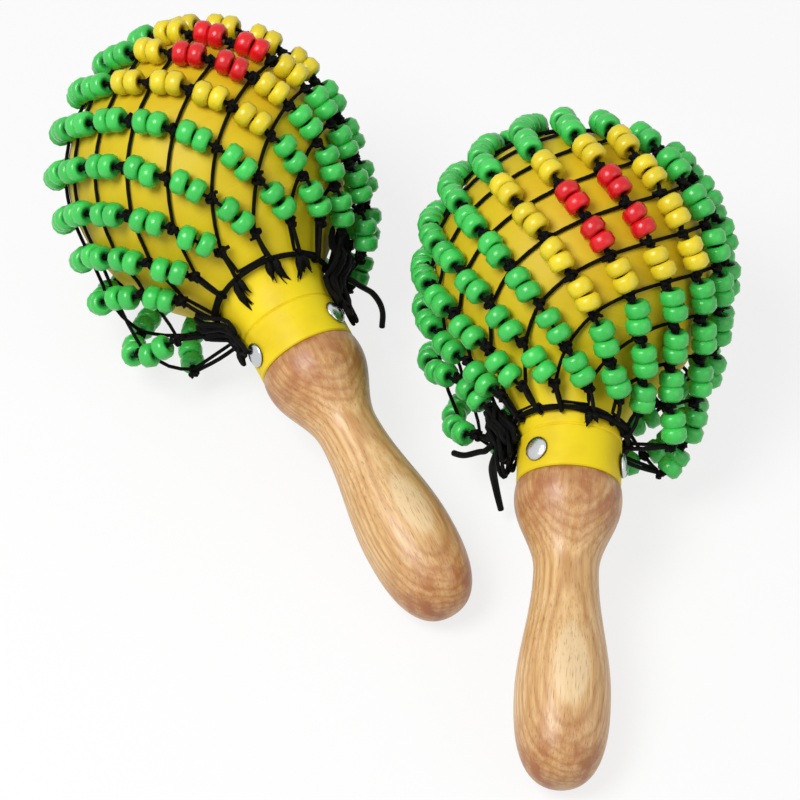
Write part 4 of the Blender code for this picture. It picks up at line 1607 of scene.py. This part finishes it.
PAIR = (
    Maraca(
        NetSetting(
            tag="a",
            draw_share=0.378,
            draw_sag=0.12,
            draw_turn=math.radians(-23),
            net_turn=math.radians(120.6),
            slip=math.radians(15.6),
            slip_turn=math.radians(-26),
            bag=0.36,
            bag_lean=0.5,
            tight_turn=math.radians(-18),
            knot_gap=1,
            draw_braids=(0.0011,),
            frayed={4: (0.0095, 0.006, 0.008, 0.007), 5: (0.0075, 0.0105, 0.009), 6: (0.0135, 0.008)},
            bunches=(
                Bunch(14, math.radians(76), math.radians(13), 0.016, 0.022, 0.0062),
                Bunch(12, math.radians(-97), math.radians(15), 0.005, 0.021, 0.0062),
            ),
            tails=(
                (
                    (0.0041, 0.0008, 0.0016),
                    (0.0076, 0.0032, 0.0058),
                    (0.01, 0.0065, 0.0071),
                    (0.0123, 0.0105, 0.0082),
                    (0.0139, 0.0155, 0.0108),
                    (0.0141, 0.021, 0.0131),
                    (0.0125, 0.027, 0.0156),
                ),
            ),
            tail_radii=(0.0012,),
            tail_tapers=((1.0, 1.0),),
        ),
        rivet_turn=math.radians(-76),
        grain_turn=math.radians(3),
        sapwood=0.0004,
    ),
    Maraca(
        NetSetting(
            tag="b",
            draw_share=0.25,
            draw_sag=0.05,
            draw_turn=math.radians(-40),
            net_turn=math.radians(118.3),
            slip=math.radians(13.8),
            slip_turn=math.radians(-99),
            bag=0.33,
            bag_lean=0.0,
            tight_turn=math.radians(-14),
            knot_gap=8,
            draw_braids=(0.0009, 0.0009),
            frayed={4: (0.0055, 0.004)},
            bunches=(Bunch(22, math.radians(-92), math.radians(16), 0.008, 0.0155, 0.0085),),
            tails=(
                (
                    (0.0041, 0.0003, 0.0008),
                    (0.0068, 0.0022, 0.0032),
                    (0.0092, 0.005, 0.0036),
                    (0.0116, 0.0072, 0.0028),
                    (0.0171, 0.0118, 0.0018),
                    (0.0201, 0.0141, 0.0006),
                    (0.0231, 0.0165, -0.0014),
                ),
                (
                    (0.0024, 0.0028, 0.0021),
                    (0.0052, 0.0076, 0.0052),
                    (0.0071, 0.0125, 0.0064),
                    (0.0077, 0.0175, 0.0077),
                    (0.0076, 0.022, 0.0096),
                    (0.0071, 0.0268, 0.0129),
                    (0.0065, 0.0312, 0.0161),
                ),
            ),
            tail_radii=(0.0012, 0.0016),
            tail_tapers=((1.0, 1.0), (1.3, 0.75)),
        ),
        rivet_turn=math.radians(-40),
        grain_turn=math.radians(3),
        sapwood=0.0006,
    ),
)


def main() -> None:
    """Loads the frame, sets up the studio and dresses both maracas."""
    logging.basicConfig(level=logging.INFO, format="%(message)s")
    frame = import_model()
    bpy.context.scene.view_settings.view_transform = "Standard"
    studio = Studio()
    studio.add_camera()
    studio.add_light()
    studio.add_backdrop()
    palette = Palette.mix()
    for maraca in PAIR:
        maraca.build(frame, palette)


if __name__ == "__main__":
    main()
